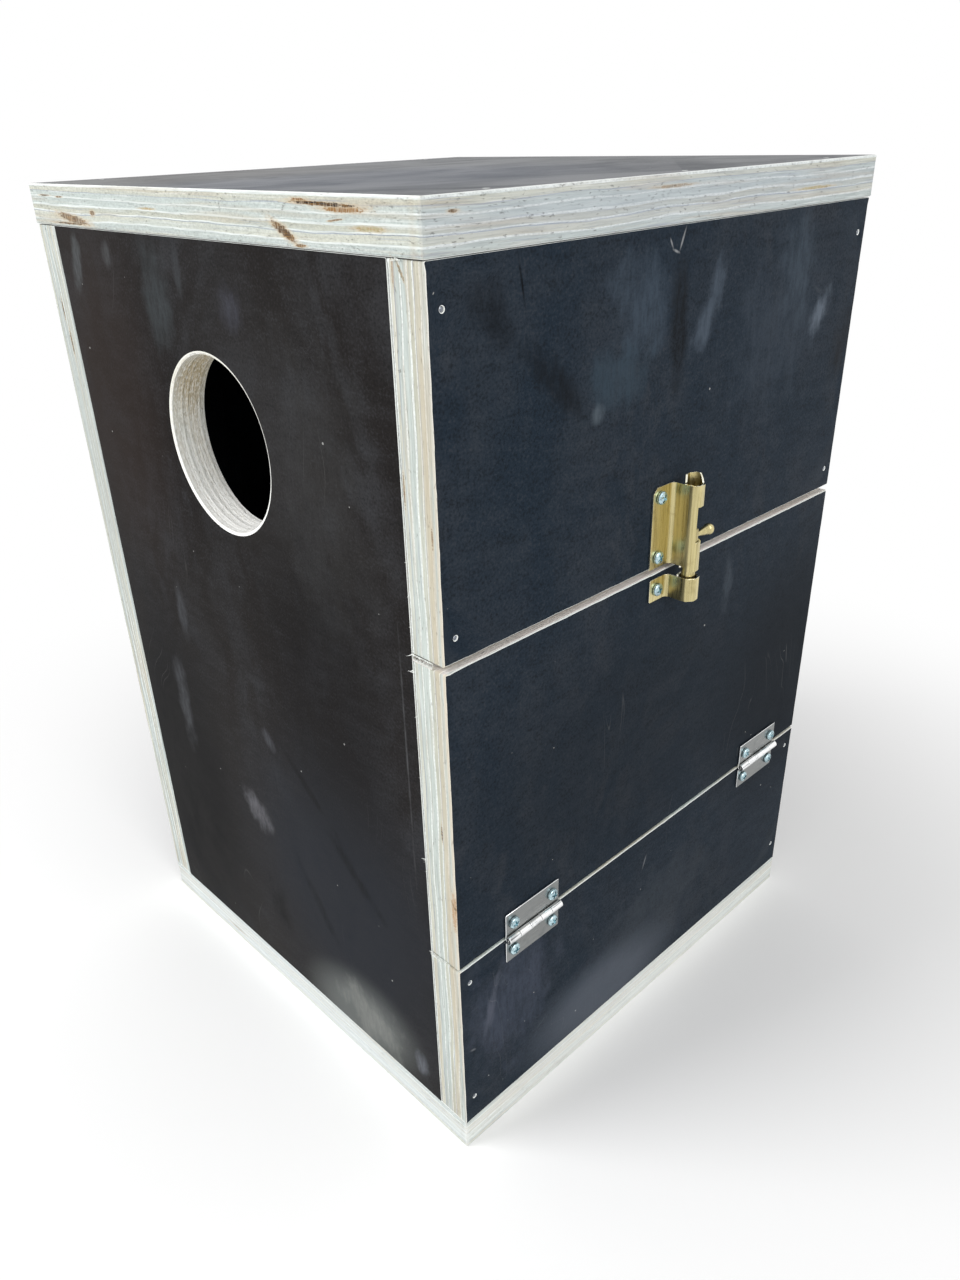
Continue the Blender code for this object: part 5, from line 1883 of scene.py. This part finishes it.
def wire_tree():
    """Round wire along paths, bent round at their corners."""
    inputs = {"Radius": WIRE_RADIUS, "Bend": 0.0, "Sides": WIRE_SIDES}
    tree, given, result = start_tree("drawn wire", inputs)
    route = shape_node(tree, "MeshToCurve", {0: given["Geometry"]})
    feeds = {"Curve": route, "Radius": given["Bend"], "Count": BEND_STEPS, "Limit Radius": True}
    route = shape_node(tree, "FilletCurve", feeds, mode="POLY")
    wire = round_wire(tree, route, given["Sides"], given["Radius"])
    return finish_tree(tree, wire, given, result)


def weld_tree():
    """A flattened bead of weld on every point."""
    inputs = {"Radius": WELD_RADIUS, "Flatness": WELD_FLATNESS}
    tree, given, result = start_tree("wire welds", inputs)
    feeds = {"Radius": given["Radius"], "Subdivisions": 2}
    bead = shape_node(tree, "MeshIcoSphere", feeds)
    size = arrow(tree, 1.0, given["Flatness"], 1.0)
    feeds = {"Points": given["Geometry"], "Instance": bead, "Scale": size}
    copies = shape_node(tree, "InstanceOnPoints", feeds)
    return finish_tree(tree, copies, given, result)


def wire_paths(paths):
    """Paths of points as a mesh of edges."""
    mesh = bpy.data.meshes.new("wire paths")
    places, edges = [], []
    for route in paths:
        edges += [(len(places) + i, len(places) + i + 1) for i in range(len(route) - 1)]
        places += route
    mesh.from_pydata(places, edges, [])
    return mesh


near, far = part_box("climbing_ladder")
upright_y = near.y + WIRE_RADIUS
rung_y = far.y - WIRE_RADIUS
columns = [near.x + WIRE_OVERHANG + LADDER_PITCH * i for i in range(UPRIGHTS)]
count = round((far.z - near.z - 2 * WIRE_OVERHANG) / LADDER_PITCH) + 1
levels = [near.z + WIRE_OVERHANG + LADDER_PITCH * i for i in range(count)]
paths = [[Vector((x, upright_y, near.z)), Vector((x, upright_y, far.z))] for x in columns]
paths += [[Vector((near.x, rung_y, z)), Vector((far.x, rung_y, z))] for z in levels]
wires = wire_tree()
ladder = run_tree(wires, wire_paths(paths), {"Radius": WIRE_RADIUS, "Material": GALVANISED})
crossings = bpy.data.meshes.new("crossings")
crossings.from_pydata([(x, (upright_y + rung_y) / 2, z) for x in columns for z in levels], [], [])
welds = run_tree(weld_tree(), crossings, {"Material": GALVANISED})
ladder = joined([ladder, welds])
keep_mesh("welded_climbing_ladder", ladder, "case", ["climbing_ladder"])
staples = numbered("ladder_staple", 4)
paths = []
for node in staples:
    near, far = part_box(node)
    x, z = (near.x + far.x) / 2, (near.z + far.z) / 2
    crown, tip = far.y - STAPLE_WIRE, near.y
    left, right = x - STAPLE_LEG, x + STAPLE_LEG
    corners = ((left, tip), (left, crown), (right, crown), (right, tip))
    paths.append([Vector((across, back, z)) for across, back in corners])
values = {"Radius": STAPLE_WIRE, "Bend": STAPLE_BEND, "Material": GALVANISED}
made = run_tree(wires, wire_paths(paths), values)
keep_mesh("ladder_staples", made, "case", staples)

# Nest block
# A loose block of bare spruce on the floor, with a round dish turned in its top for the eggs.
# Its grain runs across the box and the turning left fine rings in the dish.
NEST_ARRIS = 0.0010
NEST_ARRIS_ROWS = ((0, 1.0), (0.0003, 0.5), (0.0007, 0.12), (0.0012, 0))
NEST_WAIST = 0.011
NEST_UNEVEN = 0.3
DISH_RADIUS = 0.078
DISH_DEPTH = 0.013
DISH_STEPS = 96
DISH_RINGS = 26
DISH_LIP = 0.0008
LIP_SHARE = 0.3
LIP_DROP = 0.00015
RIM_ANGLE = 0.003
TURNING_MARK = 0.00006
GROWTH_RINGS = 300.0
HEART_DEPTH = 0.16
EARLY_WOOD = (226, 201, 160)
LATE_WOOD = (190, 146, 96)
SPRUCE_CLOUD = (205, 170, 126)


def spruce_material():
    """Bare softwood: growth rings in bands along the grain, pores and soft clouds."""
    material, tree, shader, here = start_material("bare spruce", 0.3)
    axes = place_node(tree, "ShaderNodeSeparateXYZ", {0: here}).outputs
    sway = stretched_noise(tree, here, (6, 16, 30), 2.0)
    heart = plus(tree, axes[2], HEART_DEPTH)
    ring = plus(tree, figure(tree, "POWER", axes[1], 2.0), figure(tree, "POWER", heart, 2.0))
    ring = figure(tree, "SQRT", ring)
    ring = plus(tree, ring, times(tree, sway, 0.018))
    ring = figure(tree, "FRACT", times(tree, ring, GROWTH_RINGS))
    late = band(tree, ring, 0.55, 0.96)
    colour = mix_colour(tree, late, shade(EARLY_WOOD), shade(LATE_WOOD))
    fibres = stretched_noise(tree, here, (30, 1400, 1400), 4.0, 0.6)
    colour = toned(tree, colour, band(tree, fibres, 0.3, 0.7, 0.84, 1.06))
    cloud = stretched_noise(tree, here, (14, 40, 40), 2.0)
    colour = mix_colour(tree, band(tree, cloud, 0.5, 0.8, 0.0, 0.4), colour, shade(SPRUCE_CLOUD))
    rough = band(tree, fibres, 0.3, 0.7, 0.60, 0.78)
    height = plus(tree, fibres, times(tree, late, 0.5))
    feed_shader(tree, shader, colour, rough, height, 0.00015)
    return material


def dish_rings():
    """Radius and depth of every ring of the turned dish, from its lip down to its middle."""
    ball = (DISH_RADIUS**2 + DISH_DEPTH**2) / (2 * DISH_DEPTH)
    widest = math.asin(DISH_RADIUS / ball)
    rings = [(DISH_RADIUS + DISH_LIP, 0), (DISH_RADIUS + DISH_LIP * LIP_SHARE, LIP_DROP)]
    for ring in range(DISH_RINGS):
        angle = widest * (1 - ring / DISH_RINGS) - RIM_ANGLE
        chatter = TURNING_MARK * (ring % 2)
        rings.append((ball * math.sin(angle), DISH_DEPTH - ball * (1 - math.cos(angle)) + chatter))
    return rings


def turn_nest_block():
    """The block with sanded arrises, and the dish turned in its top."""
    low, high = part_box("nest_block")
    form = bmesh.new()
    depth = high.z - low.z
    rows = [*NEST_ARRIS_ROWS, (NEST_WAIST, 0)]
    rows += [(depth - drop, inset) for drop, inset in NEST_ARRIS_ROWS[::-1]]
    walk = rectangle_walk(Vector((low.x, low.y)), Vector((high.x, high.y)))
    loops = []
    for drop, inset in rows:
        loop = []
        for spot, inward in walk:
            lively = 1 + NEST_UNEVEN * ripple(spot, drop, 60, 50, 0)
            point = spot + inward * NEST_ARRIS * inset * lively
            loop.append(form.verts.new((point.x, point.y, high.z - drop)))
        loops.append(loop)
    bridge(form, loops, 0)
    rings = []
    for radius, drop in dish_rings():
        spots = circle_walk(Vector((0, 0)), radius, DISH_STEPS)
        rings.append([form.verts.new((spot.x, spot.y, high.z - drop)) for spot, _ in spots])
    bridge(form, rings, 0)
    pole = form.verts.new((0, 0, high.z - DISH_DEPTH))
    for i, corner in enumerate(rings[-1]):
        form.faces.new((rings[-1][i - 1], corner, pole)).smooth = True
    close_face(form, [loops[0], rings[0]])
    close_face(form, [loops[-1]])
    finish_piece("turned_nest_block", form, [spruce_material()], "case", ["nest_block"])


turn_nest_block()

# The photographer's corner of the room
# A pale floor, a white room and soft lamps; the camera stands where the photograph was taken.
EYE = Vector((0.38876, -0.35720, 0.45794))
RIGHT = Vector((0.69190, 0.72132, -0.03115))
DOWN = Vector((0.32260, -0.34746, -0.88045))
AHEAD = Vector((-0.64591, 0.59914, -0.47311))
FOCAL_PIXELS = 988.45
PICTURE_WIDTH = 960
PICTURE_HEIGHT = 1280
SENSOR = 36
CENTRE_PIXEL = (468.46, 656.82)
camera_data = bpy.data.cameras.new("photo camera")
camera_data.sensor_width = SENSOR
camera_data.lens = FOCAL_PIXELS * SENSOR / PICTURE_HEIGHT
camera_data.shift_x = (PICTURE_WIDTH / 2 - CENTRE_PIXEL[0]) / PICTURE_HEIGHT
camera_data.shift_y = (CENTRE_PIXEL[1] - PICTURE_HEIGHT / 2) / PICTURE_HEIGHT
camera_data.clip_start = 0.01
camera = bpy.data.objects.new("photo camera", camera_data)
bpy.context.scene.collection.objects.link(camera)
turn = Matrix((RIGHT.normalized(), -DOWN.normalized(), -AHEAD.normalized())).transposed()
camera.matrix_world = Matrix.Translation(EYE) @ turn.to_4x4()
bpy.context.scene.camera = camera

FLOOR_REACH = 4.0
FLOOR_GREY = 0.97
FLOOR_FADE = (0.22, 0.62)
ROOM_LEVEL = 0.54


def seen_rays(tree):
    """1 for the rays that show a thing itself: straight, in a mirror or through glass."""
    path = place_node(tree, "ShaderNodeLightPath").outputs
    seen = figure(tree, "MAXIMUM", path["Is Camera Ray"], path["Is Glossy Ray"])
    return figure(tree, "MAXIMUM", seen, path["Is Transmission Ray"])


floor_form = bmesh.new()
bmesh.ops.create_circle(floor_form, cap_ends=True, segments=96, radius=FLOOR_REACH)
floor_mesh = bpy.data.meshes.new("pale floor")
floor_form.to_mesh(floor_mesh)
floor_form.free()
floor = bpy.data.objects.new("pale_floor", floor_mesh)
bpy.context.scene.collection.objects.link(floor)
paint, tree, matt, here = start_material("pale floor paint", 0.1)
floor_mesh.materials.append(paint)
matt.inputs["Base Color"].default_value = (FLOOR_GREY, FLOOR_GREY, FLOOR_GREY, 1)
matt.inputs["Roughness"].default_value = 0.8
span = arrow_figure(tree, "LENGTH", here)
glow = place_node(tree, "ShaderNodeEmission", {"Strength": 1.0})
faded = times(tree, seen_rays(tree), band(tree, span, *FLOOR_FADE))
blend = place_node(tree, "ShaderNodeMixShader", {0: faded, 1: matt.outputs[0], 2: glow.outputs[0]})
tree.links.new(blend.outputs[0], tree.nodes["Material Output"].inputs["Surface"])

room = bpy.data.worlds.new("white room")
bpy.context.scene.world = room
room.use_nodes = True
tree = room.node_tree
feeds = {"Value": seen_rays(tree), "To Min": ROOM_LEVEL, "To Max": 1.0}
level = place_node(tree, "ShaderNodeMapRange", feeds).outputs[0]
tree.nodes["Background"].inputs["Color"].default_value = (1, 1, 1, 1)
tree.links.new(level, tree.nodes["Background"].inputs["Strength"])

# Each lamp: name, place, size, watts
BOX_MIDDLE = (0, 0, 0.22)
LAMPS = (
    ("window", (-0.9, -1.6, 1.7), 1.2, 31),
    ("room lamp", (1.7, -0.4, 1.6), 1.4, 19),
)
for name, place, size, watts in LAMPS:
    data = bpy.data.lights.new(name, "AREA")
    data.size = size
    data.energy = watts
    lamp = bpy.data.objects.new(name, data)
    bpy.context.scene.collection.objects.link(lamp)
    lamp.location = place
    lamp.rotation_euler = (Vector(BOX_MIDDLE) - Vector(place)).to_track_quat("-Z", "Y").to_euler()

bpy.context.scene.view_settings.view_transform = "Standard"
